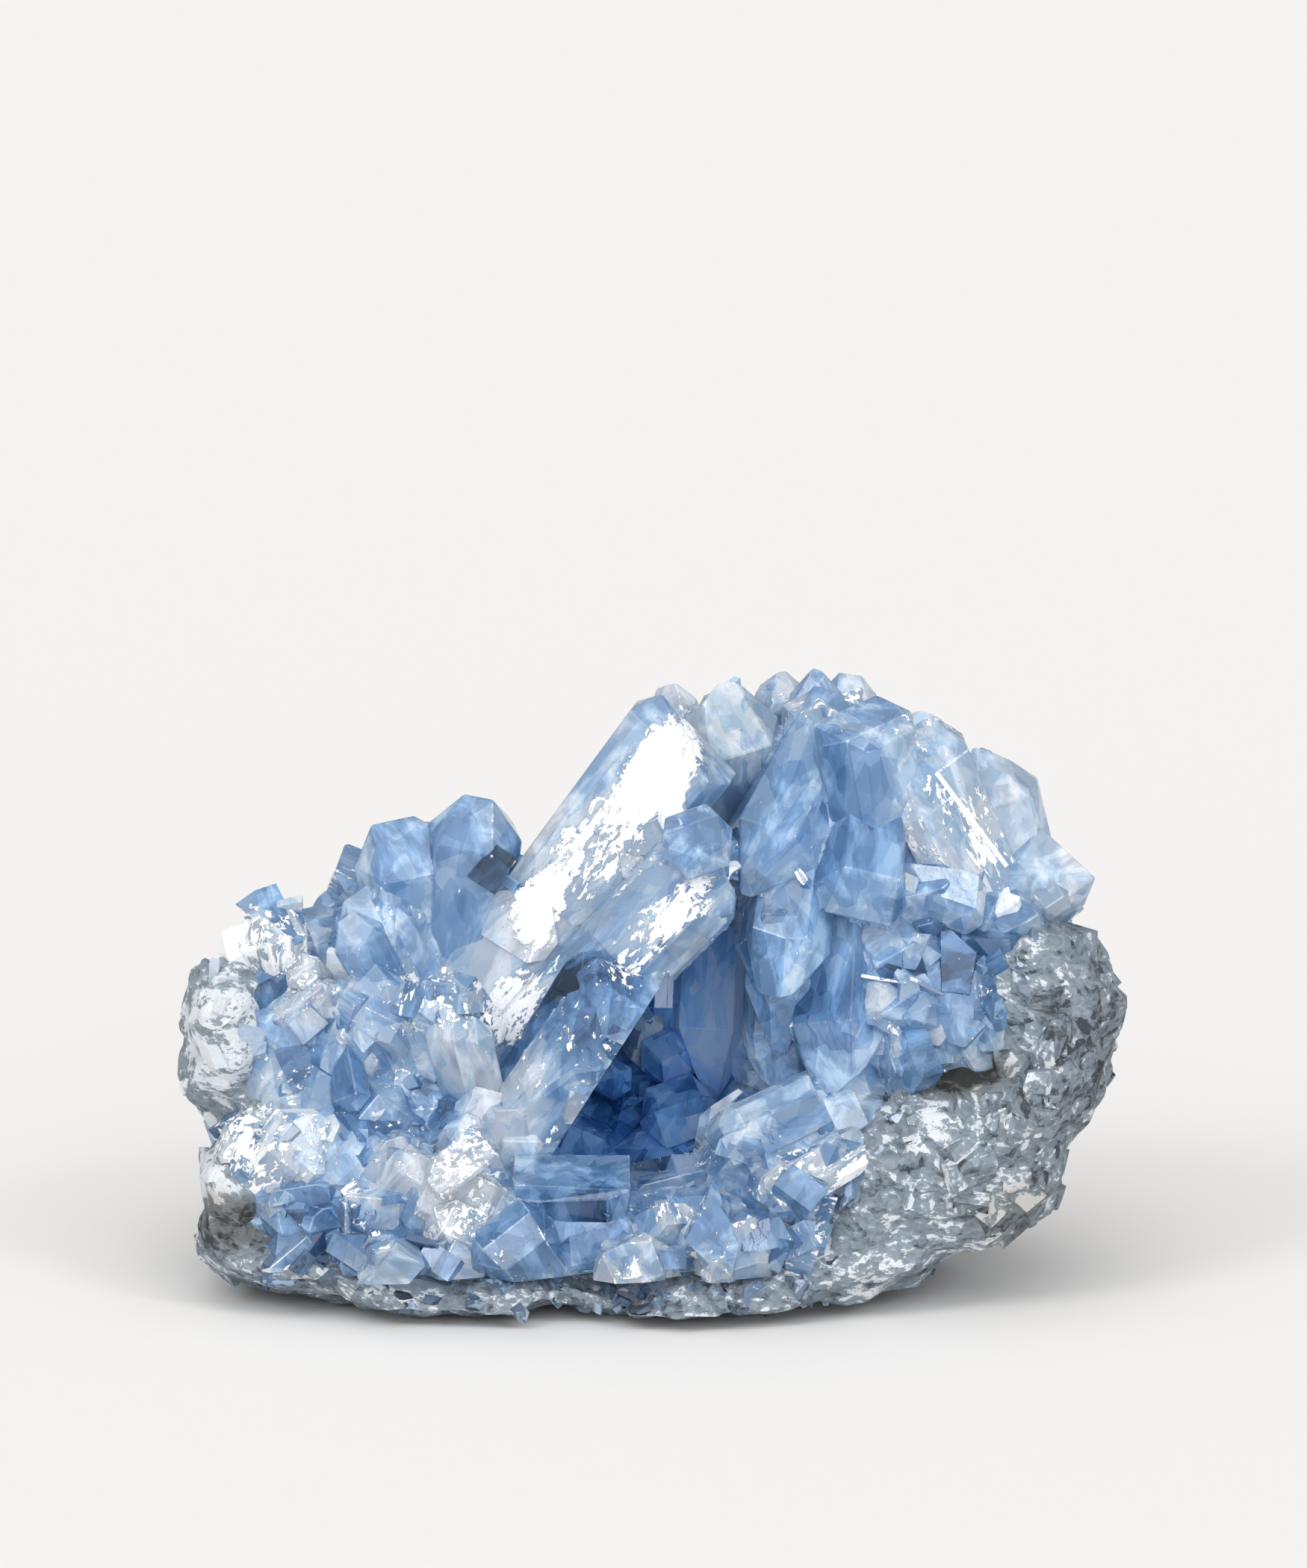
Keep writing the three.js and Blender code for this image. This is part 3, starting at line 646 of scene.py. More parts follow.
def seenAt(tree, x, high):
    # the point that shows from the front at x and this height on the picture plane, in mm
    start = Vector((x, 0, 0)) + viewUp * high + viewBack * 300
    return tree.ray_cast(start, -viewBack)[:2]


def treeOfNode(nodeName):
    probe = copyOfNode(nodeName, "probe")
    tree = treeOf(probe)
    dropObject(probe)
    return tree


rockTree, clusterTree = treeOfNode("matrix"), treeOfNode("crystal_cluster")


def grainWays(tree, where, stretch):
    # object coordinates pressed together along the way that the crystal grew, so marks run with it
    growth = faceWay(tree)
    share = addNode(tree, "ShaderNodeVectorMath", {"operation": "DOT_PRODUCT"}, {0: where, 1: growth},
                    output=1)
    share = addNode(tree, "ShaderNodeMath", {"operation": "MULTIPLY"}, {0: share, 1: -stretch})
    pressed = addNode(tree, "ShaderNodeVectorMath", {"operation": "SCALE"}, {0: growth, "Scale": share})
    return addNode(tree, "ShaderNodeVectorMath", None, {0: where, 1: pressed})


def fieldOf(tree, where, spots):
    # a smooth mark about each place, in mm seen from the front: place, half width and height, turn,
    # amount; it is full in its middle third and fades to just past its edge
    total = 0.0
    for at, reach, turn, amount in spots:
        middle = seenAt(clusterTree, *at)[0] or seenAt(rockTree, *at)[0]
        turned = Matrix.Rotation(math.radians(-turn), 3, "Y")
        turned.rotate(Matrix.Rotation(-rise, 3, "X"))
        deep = 1.5 * max(reach)
        near = addNode(tree, "ShaderNodeMapping", {"vector_type": "TEXTURE"}, {
            "Vector": where, "Location": toRow @ middle, "Rotation": turned.to_euler(),
            "Scale": [r * 0.001 for r in (reach[0], deep, reach[1])]})
        far = addNode(tree, "ShaderNodeVectorMath", {"operation": "LENGTH"}, {0: near}, output=1)
        mark = addNode(tree, "ShaderNodeMapRange", {"interpolation_type": "SMOOTHSTEP"}, {
            "Value": far, "From Min": 1.15, "From Max": 0.35, "To Max": amount})
        total = added(tree, mark, total)
    return total


crystalMarks = {  # sizes in mm, and depths of relief in metres
    "pressed": 0.55,  # how much the marks run with the crystal's growth, 0 to 1
    "linesPressed": 0.97,
    "patches": ((6.0, 0.34), (2.2, 0.34)),  # cleavage patches, and how much they differ in depth
    "veils": 6.0,
    "broken": 3.4,
    "flecks": 0.9,
    "lines": 0.7,
    "lineRelief": 0.00008,
    "pitRelief": 0.0005,
    "veilStops": [(0.48, 0.0), (0.62, 1.0)],
    "etchAndGlareStops": [(0.94, 0.0), (0.98, 1.0)],
    "veilDepth": -0.16,  # the veils are paler
    "toneDepth": 0.7,  # what a tone comes to on the scale of depths
    "etchAndGlare": {"broken": 0.5, "flecks": 0.9, "frost": 0.5},  # what makes a place white: etching, and the painted glare that the whiteness carries
    "cloud": {"veils": -0.3, "etchedAndGlare": -0.8, "stain": -0.5},  # what takes the clearness away
    "rough": {"plain": 0.05, "veils": 0.1, "etchedAndGlare": 0.35},
    "index": 1.62,  # of refraction
}


def celestite(name, look):
    # Celestite, a clear strontium sulphate: grown faces of bright glassy lustre, cleavage patches
    # and milky veils inside, pale blue where thin and deeper where thick, etched white in places, and
    # painted white where glints and highlights are painted.
    made, tree = newMaterial(name)
    where = addNode(tree, "ShaderNodeTexCoord", output=3)
    tone, frost, stain, own = [faceValue(tree, value) for value in ("tone", "frost", "stain", "own")]
    # etched patches, painted glints and highlights, and painted light add to the whiteness
    frost = added(tree, frost, fieldOf(tree, where, look["etchingsAndPaintedGlints"]))
    tone = added(tree, tone, fieldOf(tree, where, look["deeper"]))
    shards = grainWays(tree, where, crystalMarks["pressed"])
    for size, depth in crystalMarks["patches"]:
        cells = addNode(tree, "ShaderNodeTexVoronoi", {"voronoi_dimensions": "4D"}, {
            "Vector": shards, "W": own, "Scale": perMm(size)}, output=1)
        cells = addNode(tree, "ShaderNodeSeparateColor", None, {0: cells})
        tone = added(tree, tone, scaled(tree, cells, depth, -depth / 2))
    veils = addNode(tree, "ShaderNodeTexNoise", {"noise_dimensions": "4D"}, {
        "Vector": shards, "W": own, "Scale": perMm(crystalMarks["veils"]), "Detail": 6.0,
        "Roughness": 0.62, "Distortion": 1.2})
    veils = rampOf(tree, veils, crystalMarks["veilStops"])
    # broken places, and the white flecks where they are etched; the whiteness also brings its painted glare
    broken = addNode(tree, "ShaderNodeTexNoise", None, {
        "Vector": shards, "Scale": perMm(crystalMarks["broken"]), "Detail": 2.0, "Roughness": 0.6})
    fleck = addNode(tree, "ShaderNodeTexNoise", None, {
        "Vector": shards, "Scale": perMm(crystalMarks["flecks"]), "Detail": 3.0, "Roughness": 0.65,
        "Distortion": 0.4})
    etchAndGlare = crystalMarks["etchAndGlare"]
    etchedAndGlare = scaled(tree, broken, etchAndGlare["broken"])
    etchedAndGlare = scaled(tree, fleck, etchAndGlare["flecks"], etchedAndGlare)
    etchedAndGlare = scaled(tree, frost, etchAndGlare["frost"], etchedAndGlare)
    etchedAndGlare = rampOf(tree, etchedAndGlare, crystalMarks["etchAndGlareStops"])
    # colour
    deep = scaled(tree, veils, crystalMarks["veilDepth"], tone)
    body = rampOf(tree, scaled(tree, deep, crystalMarks["toneDepth"]), look["depths"])
    body = blended(tree, stain, body, linear(look["smoke"]), "MULTIPLY")
    # etched places, and painted glints and highlights, are painted white here
    body = blended(tree, etchedAndGlare, body, linear(look["etchedAndGlare"]))
    # clearness
    cloud = crystalMarks["cloud"]
    clear = scaled(tree, veils, cloud["veils"], look["clear"])
    clear = scaled(tree, etchedAndGlare, cloud["etchedAndGlare"], clear, True)
    clear = scaled(tree, stain, cloud["stain"], clear, True)
    # growth lines and the etching in relief
    lines = addNode(tree, "ShaderNodeTexNoise", None, {
        "Vector": grainWays(tree, where, crystalMarks["linesPressed"]),
        "Scale": perMm(crystalMarks["lines"]), "Detail": 2.0, "Roughness": 0.6})
    pits = addNode(tree, "ShaderNodeMath", {"operation": "MULTIPLY"}, {0: fleck, 1: etchedAndGlare})
    relief = addNode(tree, "ShaderNodeBump", None, {
        "Height": lines, "Distance": crystalMarks["lineRelief"], "Strength": 0.5})
    relief = addNode(tree, "ShaderNodeBump", None, {
        "Height": pits, "Distance": crystalMarks["pitRelief"], "Strength": 0.8, "Normal": relief})
    rough = crystalMarks["rough"]
    dull = scaled(tree, veils, rough["veils"], rough["plain"])
    dull = scaled(tree, etchedAndGlare, rough["etchedAndGlare"], dull)
    surface = addNode(tree, "ShaderNodeBsdfPrincipled", None, {
        "Base Color": body, "Roughness": dull, "Transmission Weight": clear,
        "IOR": crystalMarks["index"], "Normal": relief})
    inside = addNode(tree, "ShaderNodeVolumeAbsorption", None, {
        "Color": linear(look["inside"]), "Density": look["density"]})
    addNode(tree, "ShaderNodeOutputMaterial", None, {"Surface": surface, "Volume": inside})
    return made


etchingsAndPaintedGlints = [  # painted white: etched patches, painted glints and highlights, and painted light at the far left; place, half sizes in mm, turn, amount
    ((2.4, 69.0), (9.0, 5.5), 60, 1.0),
    ((-6.0, 58.5), (11.0, 8.0), 60, 0.41),
    ((-14.5, 49.5), (6.5, 4.2), 66, 0.75),
    ((5.3, 50.5), (6.5, 3.6), 46, 0.7),
    ((-0.5, 45.0), (7.5, 4.0), 50, 0.42),
    ((-27.5, 37.5), (17.0, 8.0), 0, 0.3),
    ((-17.5, 37.0), (5.0, 9.0), -30, 0.34),
    ((-46.7, 40.5), (5.0, 3.5), -20, 0.36),
    ((-50.0, 47.0), (6.0, 4.0), 0, 0.16),
    ((-53.5, 19.0), (8.0, 5.0), 20, 0.4),
    ((-21.7, 16.0), (5.5, 5.0), 0, 0.25),
    ((-25.5, 8.0), (7.5, 3.0), 10, 0.25),
    ((27.3, 14.6), (4.5, 2.0), 30, 0.45),
    ((42.0, 61.0), (9.0, 3.0), -52, 0.3),
    ((46.0, 60.0), (6.0, 6.0), 0, 0.1),
    ((32.5, 74.0), (4.5, 2.0), 0, 0.3),
    ((4.5, 10.0), (5.0, 3.0), 35, 0.25),
    ((-60.0, 40.0), (9.0, 12.0), 0, 0.6),
]
deeperPlaces = [  # where the crystals are thicker and deeper in colour, or thinner and paler
    ((-32.0, 58.0), (8.0, 8.0), 20, 0.1),
    ((-41.0, 7.5), (11.0, 5.0), 0, 0.34),
    ((-28.0, 23.5), (6.0, 4.5), 0, 0.34),
    ((-7.5, 37.0), (10.0, 7.0), 50, 0.6),
    ((-8.0, 8.5), (11.0, 7.0), 0, 0.25),
    ((46.0, 40.0), (9.0, 9.0), 0, 0.25),
    ((-46.0, 38.0), (7.0, 6.0), 0, -0.25),
    ((-19.0, 23.0), (7.0, 9.0), 0, -0.3),
    ((31.0, 38.0), (12.0, 7.0), 0, 0.25),
    ((21.0, 34.0), (9.0, 9.0), 0, 0.14),
    ((13.0, 64.0), (7.0, 10.0), -30, 0.16),
    ((-47.0, 26.0), (6.0, 8.0), 0, -0.16),
    ((-24.0, 13.0), (9.0, 7.0), 0, -0.3),
    ((38.0, 66.0), (9.0, 8.0), 0, -0.12),
    ((53.0, 48.0), (9.0, 7.0), 0, -0.35),
]
# clear, glassy celestite of pale sky blue
paleCelestite = celestite("celestite_pale_glassy", {
    "depths": [(0.0, "#EEF6FF"), (0.2, "#C6E1FA"), (0.38, "#99C1EC"), (0.57, "#729FD0"),
               (0.78, "#4C74A4"), (1.0, "#22384F")],
    "smoke": "#D2CBC4",
    "etchedAndGlare": "#FBFDFF",
    "clear": 0.6,
    "inside": "#93BFEA",
    "density": 12.0,  # of absorption, for each metre
    "deeper": deeperPlaces,
    "etchingsAndPaintedGlints": etchingsAndPaintedGlints,
})
# celestite of deep blue, nearly opaque in the shade of the hollow
deepCelestite = celestite("celestite_deep_blue", {
    "depths": [(0.0, "#B4D6FF"), (0.24, "#82BAFA"), (0.5, "#3F7AC2"), (0.72, "#1C4680")],
    "smoke": "#9CA8B8",
    "etchedAndGlare": "#B5D3F8",
    "clear": 0.08,
    "inside": "#5C9AE0",
    "density": 12.0,
    "deeper": [((11, 36), (8, 15), 0, -0.4), ((-4, 22), (9, 8), 0, 0.3)],
    "etchingsAndPaintedGlints": [],
})


milkMarks = {
    "clouds": 4.0,  # mm
    "depths": [(0.3, "#F4F9FF"), (0.5, "#B9D2EC"), (0.8, "#7FA6D0"), (1.0, "#557EAE")],
}


def milkyMass(name):
    # Massive celestite under the clear crystals, white to pale blue and cloudy.
    made, tree = newMaterial(name)
    where = addNode(tree, "ShaderNodeTexCoord", output=3)
    tone = faceValue(tree, "tone")
    clouds = addNode(tree, "ShaderNodeTexNoise", None, {
        "Vector": where, "Scale": perMm(milkMarks["clouds"]), "Detail": 5.0, "Roughness": 0.7})
    body = rampOf(tree, scaled(tree, clouds, 0.5, tone), milkMarks["depths"])
    surface = addNode(tree, "ShaderNodeBsdfPrincipled", None, {"Base Color": body, "Roughness": 0.6})
    addNode(tree, "ShaderNodeOutputMaterial", None, {"Surface": surface})
    return made


milkyCelestite = milkyMass("celestite_milky_massive")

limeMarks = {
    "grains": 1.2,  # mm
    "patches": ((3.2, 0.28), (1.3, 0.26)),  # angular crystals among them: size in mm, how much paler
    "relief": 0.0006,  # metres
    "frost": 0.36,  # how much whiter the pale shell at the left is, partly painted light
    "greys": [(0.56, "#3E454B"), (0.72, "#7B8792"), (0.98, "#9DAAB5"), (1.2, "#E6EBF0")],
    "brown": "#C2B39C",
    "blue": "#A9C6E6",
    # smooth marks, seen from the front: place, half sizes in mm, turn, amount. The first two paint light on
    # the left lobes, the third paints shade on the right side, the fourth is the rock's own darker
    # brown-grey patch, the fifth paints shade in the crevice, and the last is a lighter zone under it.
    "paintedLightShadeAndTone": [
        ((-57, 34), (10, 15), 0, 0.2),
        ((-60, 14), (8, 7), 0, 0.25),
        ((58, 30), (9, 24), 0, -0.1),
        ((-57, 7.5), (8, 5), 0, -0.2),
        ((41, 27), (8, 2.2), 10, -0.35),
        ((41, 21.5), (9, 5), 0, 0.08),
    ],
    "browner": [
        ((-56, 8), (8, 5), -15, 0.7),
        ((42, 27), (9, 3), 10, 0.9),
        ((49, 10), (9, 4), 30, 0.5),
    ],
}


def limeRock(name):
    # Limestone of the geode's shell, broken with a hammer: dull, sugary and layered, grey with
    # white calcite grains, dark partings, and a blue cast where celestite runs into it. Its left side is
    # painted white as light, and broad marks paint light and shade on it.
    made, tree = newMaterial(name)
    where = addNode(tree, "ShaderNodeTexCoord", output=3)
    tone, frost, stain, blue = [faceValue(tree, value) for value in ("tone", "frost", "stain", "blue")]
    growth = faceWay(tree)
    # grains pressed flat along the layers
    share = addNode(tree, "ShaderNodeVectorMath", {"operation": "DOT_PRODUCT"}, {0: where, 1: growth},
                    output=1)
    spread = addNode(tree, "ShaderNodeVectorMath", {"operation": "SCALE"}, {0: growth, "Scale": share})
    layered = addNode(tree, "ShaderNodeVectorMath", None, {0: where, 1: spread})
    grains = addNode(tree, "ShaderNodeTexNoise", None, {
        "Vector": layered, "Scale": perMm(limeMarks["grains"]), "Detail": 5.0, "Roughness": 0.75})
    bent = addNode(tree, "ShaderNodeMix", {"data_type": "VECTOR"}, {0: 0.0015, 4: layered, 5: grains},
                   output=1)
    shade = scaled(tree, grains, 0.7, tone)
    for size, depth in limeMarks["patches"]:
        cells = addNode(tree, "ShaderNodeTexVoronoi", None, {"Vector": bent, "Scale": perMm(size)},
                        output=1)
        cells = addNode(tree, "ShaderNodeSeparateColor", None, {0: cells})
        shade = scaled(tree, cells, depth, shade)
    # the pale shell is whitened at the left, partly painted light
    shade = scaled(tree, frost, limeMarks["frost"], shade)
    # painted light and shade, and the rock's darker patch, in broad marks
    shade = added(tree, fieldOf(tree, where, limeMarks["paintedLightShadeAndTone"]), shade)
    body = rampOf(tree, shade, limeMarks["greys"])
    stain = added(tree, stain, fieldOf(tree, where, limeMarks["browner"]), True)
    body = blended(tree, stain, body, linear(limeMarks["brown"]), "MULTIPLY")
    body = blended(tree, blue, body, linear(limeMarks["blue"]), "MULTIPLY")
    relief = addNode(tree, "ShaderNodeBump", None, {
        "Height": grains, "Distance": limeMarks["relief"], "Strength": 0.9})
    surface = addNode(tree, "ShaderNodeBsdfPrincipled", None, {
        "Base Color": body, "Roughness": 0.75, "Normal": relief})
    addNode(tree, "ShaderNodeOutputMaterial", None, {"Surface": surface})
    return made


hostRock = limeRock("limestone_broken_granular")
print("materials made")

bed = {  # the broken crystal mass between the large crystals
    "seed": 12,
    "voxel": 1.0,  # mm
    "sink": 0.7,
    "fragments": 1500,
    "small": 3.5,  # mm
    "large": 12.0,
    "fewLarge": 1.8,  # the higher, the fewer are large
    "leftRim": {"x": -60, "size": 3, "growth": 0.5},  # they are small there, and larger inwards
    "slab": 0.42,  # how flat the fragments lie
    "tilt": 0.25,
    "proud": (-0.3, 0.8),  # how far they stand out, mm
    "chips": 4,
    "foot": 6.6,  # the crystals stand on the rock from this height, mm
    "end": {"x": 24, "y": -18, "z": 14},  # right of this, the low rock shows in front of them
    "mixing": 5.0,  # how far the rock's grey runs into the crystals, mm
    "partners": 2,
    "satellites": 2,
}
terraces = [  # which blade; share of its length and of its width, lift; look
    (0, (0.66, 0.955, -0.62, 1.0, 0.4), {"tone": 0.2, "frost": 0.15}),
    (0, (0.44, 0.70, -0.75, 0.90, 0.2), {"tone": 0.3, "frost": 0.15}),
    (0, (0.28, 0.48, -0.90, 0.60, 0.35), {"tone": 0.2, "frost": 0.15}),
    (1, (0.62, 0.965, -0.85, 0.75, 0.3), {"tone": 0.3, "frost": 0.15}),
    (1, (0.38, 0.63, -0.60, 0.90, 0.2), {"tone": 0.4, "frost": 0.1}),
]
fills = [  # closes the lower front, where the crystals stand on the rock: centre and radii
    ((-12, -16, 11), (45, 16, 7)),
    ((-42, -12, 17), (17, 15, 13)),
    ((18, -13, 16), (13, 15, 12)),
    ((-49, -4, 30), (9, 12, 13)),
    ((41, -6, 37), (12, 12, 13)),
]
rockFills = [  # the rim of rock that shows under the crystals
    ((-26, -9, 4.0), (26, 27, 5.2)),
    ((10, -9, 4.0), (21.5, 28.5, 5.2)),
    ((-45, -6, 6.5), (16, 26, 5.0)),
    ((26, -12, 7.0), (16, 22, 5.0)),
    ((31, -12, 14), (13, 20, 11)),
]
bare = [  # where no broken crystal stands in front of the large ones: centre and radii
    ((-55, 0, 48), (7, 12, 6)),
    ((0, -14, 24), (9, 14, 9)),
    ((18, -14, 44), (7, 12, 13)),
    ((27, -16, 24), (5, 10, 4.5)),
    ((33, -20, 9), (9.5, 16, 8)),
]
mouth = {  # of the hollow, with the straight edge of the slate blue blade at its left
    "corners": [(2.8, 41.0), (-12.7, 16.8), (6.0, 16.8), (8.5, 30.0)],  # seen from the front: x, height
    "depths": (-1, 50),  # mm
    "tone": 0.7,
    "seed": 4,
}
paintedStreaks = [  # bright strips painted as highlights along edges, and dark ones painted as reflections on two facets under the dome and as shade in a low slot: from, to (x and height seen from the front), width, tone, whiteness
    ((28.3, 40.6), (34.3, 39.6), 0.45, 0.1, 0.5),
    ((34.6, 40.4), (39.3, 38.1), 0.5, 0.1, 0.5),
    ((19.8, 54.6), (21.0, 52.9), 1.1, 0.1, 0.8),
    ((38.3, 67.6), (47.8, 55.1), 0.7, 0.05, 0.8),
    ((-19.9, 54.1), (-18.0, 56.2), 1.0, 0.1, 0.7),
    ((-22.2, 52.7), (-19.0, 57.4), 4.2, 1.5, 0.0),
    ((-29.7, 58.1), (-28.7, 61.3), 1.3, 1.5, 0.0),
    ((-32.0, 6.0), (-28.0, 5.0), 1.0, 1.3, 0.0),
]


partner = {  # parallel growth on a large crystal, in shares of its size
    "size": (0.4, 0.75),
    "reach": (0.5, 0.62),  # from the large one's middle to its own outer side
    "proud": (0.0, 0.06),
    "spread": 1.4,
    "shorter": (0.4, 0.35),  # than the large one: mm at least, and a share of its width at most
    "roll": 4,  # degrees
    "ridge": (0.1, 0.8),
    "lean": 0.5,
    "point": (0.25, 0.55),
    "tone": 0.12,
}


def partnersOf(c, count, rng):
    # shorter crystals of the same bearing, let into the sides of a large one
    along, out, across = crystalAxes(c)
    made = []
    for _ in range(count):
        around, size = rng.uniform(0, 2 * math.pi), rng.uniform(*partner["size"])
        reach = rng.uniform(*partner["reach"]) - size / 2 + rng.uniform(*partner["proud"])
        side = across * math.cos(around) * c["wide"] + out * math.sin(around) * c["thick"]
        side = side * (partner["spread"] * reach)
        least, most = partner["shorter"]
        back = along * rng.uniform(least, most * c["wide"])
        made.append(dict(
            c, root=c["root"] + side, tip=c["tip"] + side - back, wide=c["wide"] * size,
            thick=c["thick"] * size, roll=c["roll"] + rng.uniform(-partner["roll"], partner["roll"]),
            ridge=rng.uniform(*partner["ridge"]), lean=rng.uniform(-partner["lean"], partner["lean"]),
            blunt=0, skew=0, point=c["wide"] * size * rng.uniform(*partner["point"]),
            tone=c.get("tone", 0.4) + rng.uniform(-partner["tone"], partner["tone"])))
    return made


satellite = {  # small crystals on the flanks of a large one, in mm
    "between": (0.2, 0.8),  # shares of the large one's length
    "wide": (2.0, 4.6),
    "slim": (0.6, 0.95),  # thickness as a share of the width
    "tall": (0.5, 1.8),
    "buried": 2.5,
    "sunk": 0.72,  # share of the large one's half width where they start
    "splay": (0.35, 1.2),
    "stray": 0.25,
    "ridge": (0.0, 0.7),
    "tone": (-0.25, 0.2),
    "frost": (0.3, 1.3),  # shares of the large one's
}


def satellitesOn(c, count, rng):
    along, out, across = crystalAxes(c)
    made = []
    for _ in range(count):
        share, around = rng.uniform(*satellite["between"]), rng.uniform(0, 2 * math.pi)
        side = across * math.cos(around) * c["wide"] / 2 + out * math.sin(around) * c["thick"] / 2
        stray = straying(rng, satellite["stray"])
        way = (along + side.normalized() * rng.uniform(*satellite["splay"]) + stray).normalized()
        base = c["root"].lerp(c["tip"], share) + side * satellite["sunk"]
        wide = rng.uniform(*satellite["wide"])
        made.append(grown(
            base - way * satellite["buried"], base + way * rng.uniform(*satellite["tall"]), wide,
            wide * rng.uniform(*satellite["slim"]), rng.uniform(0, 180),
            ridge=rng.uniform(*satellite["ridge"]),
            tone=c.get("tone", 0.4) + rng.uniform(*satellite["tone"]),
            frost=c.get("frost", 0) * rng.uniform(*satellite["frost"]), stain=c.get("stain", 0)))
    return made


calmRoom = {  # where a large crystal keeps its clean faces, in mm past its sides
    "from": 0.3,  # share of its length
    "end": 1.0,
    "side": 0.4,
    "front": 2.5,
}


def onCalm(place, calm):
    for c in calm:
        along, out, across = crystalAxes(c)
        off = place - c["root"]
        length = (c["tip"] - c["root"]).length
        if (calmRoom["from"] * length < off.dot(along) < length + calmRoom["end"]
                and abs(off.dot(across)) < c["wide"] / 2 + calmRoom["side"]
                and abs(off.dot(out)) < c["thick"] / 2 + calmRoom["front"]):
            return True
    return False


def inRounds(place, rounds):
    for middle, radii in rounds:
        if sum(((place[i] - middle[i]) / radii[i]) ** 2 for i in range(3)) < 1:
            return True
    return False


def insideBox(place):
    return all(boxLow[i] + 0.3 < place[i] < boxHigh[i] - 0.3 for i in range(3))


def nearness(tree, place, reach):
    found = tree.find_nearest(place, reach)
    return 1 - found[3] / reach if found[0] else 0.0


def coatBase(piece, rng, look):
    # the mass between the crystals or the lumps has the look of one of them
    bm = bmesh.new()
    bm.from_mesh(piece.data)
    writeFaces(bm, look, rng, Vector((0.2, -0.3, 0.93)))
    bm.to_mesh(piece.data)
    bm.free()


def bedLook(place, rng):
    # one in ten of the broken crystals is whitened, as etched and as a painted glint
    frost = rng.uniform(0.3, 0.5) if rng.random() < 0.1 else rng.uniform(0.0, 0.25)
    tone = clamp(rng.gauss(0.5, 0.2), 0.2, 0.95)
    stain = 0.9 * nearness(rockTree, place, bed["mixing"]) * rng.random()
    return {"tone": tone, "spread": 0.2, "frost": frost, "stain": stain}


def addRounds(base, rounds):
    bm = bmesh.new()
    bm.from_mesh(base.data)
    for centre, radii in rounds:
        size = Matrix.Translation(centre) @ Matrix.Diagonal(radii).to_4x4()
        bmesh.ops.create_icosphere(bm, subdivisions=4, radius=1.0, matrix=size)
    bm.to_mesh(base.data)
    bm.free()
    return base


def makeBase(name):
    # the crystal mass, standing on the rock, and drawn back behind the low rock at the right
    base = copyOfNode("crystal_cluster", name)
    end = bed["end"]
    for vert in base.data.vertices:
        vert.co.z = max(vert.co.z, bed["foot"] - 1)
        if vert.co.x > end["x"] and vert.co.z < end["z"]:
            vert.co.y = max(vert.co.y, end["y"])
    return addRounds(base, fills)


def openHollow(base, wider=1.0):
    # cuts the mouth of the hollow to the straight edge of the slate blue blade
    corners = mouth["corners"]
    middle = [sum(corner[i] for corner in corners) / len(corners) for i in range(2)]
    places = []
    for corner in corners:
        x, high = [m + (c - m) * wider for c, m in zip(corner, middle)]
        places += [Vector((x, 0, 0)) + viewUp * high + viewBack * depth for depth in mouth["depths"]]
    bm = hullOf(places)
    look = {"tone": mouth["tone"], "spread": 0.1}
    writeFaces(bm, look, random.Random(mouth["seed"]), Vector((0, 0, 1)))
    joinSolids(base, [meshObject("mouth", bm)], "DIFFERENCE")


def bedFragments(base, calm, rng):
    # broken crystals over the mass, except on the large crystals, over the rim of rock and where bare
    made = []
    for face in rng.sample(list(base.data.polygons), bed["fragments"]):
        at = face.center
        way = (face.normal + straying(rng, 1) * bed["tilt"]).normalized()
        size = bed["small"] + (bed["large"] - bed["small"]) * rng.random() ** bed["fewLarge"]
        rim = bed["leftRim"]
        size = min(size, rim["size"] + rim["growth"] * (at.x - rim["x"]))
        place = at + face.normal * (rng.uniform(*bed["proud"]) - lump["buried"] * bed["slab"] * size)
        if onCalm(at, calm) or not insideBox(at) or place.z < bed["foot"]:
            continue
        if inRounds(at, rockFills + bare):
            continue
        look = bedLook(place, rng)
        made.append(fragmentObject(place, way, size, look, rng, bed["slab"], bed["chips"], bed["foot"]))
    return made


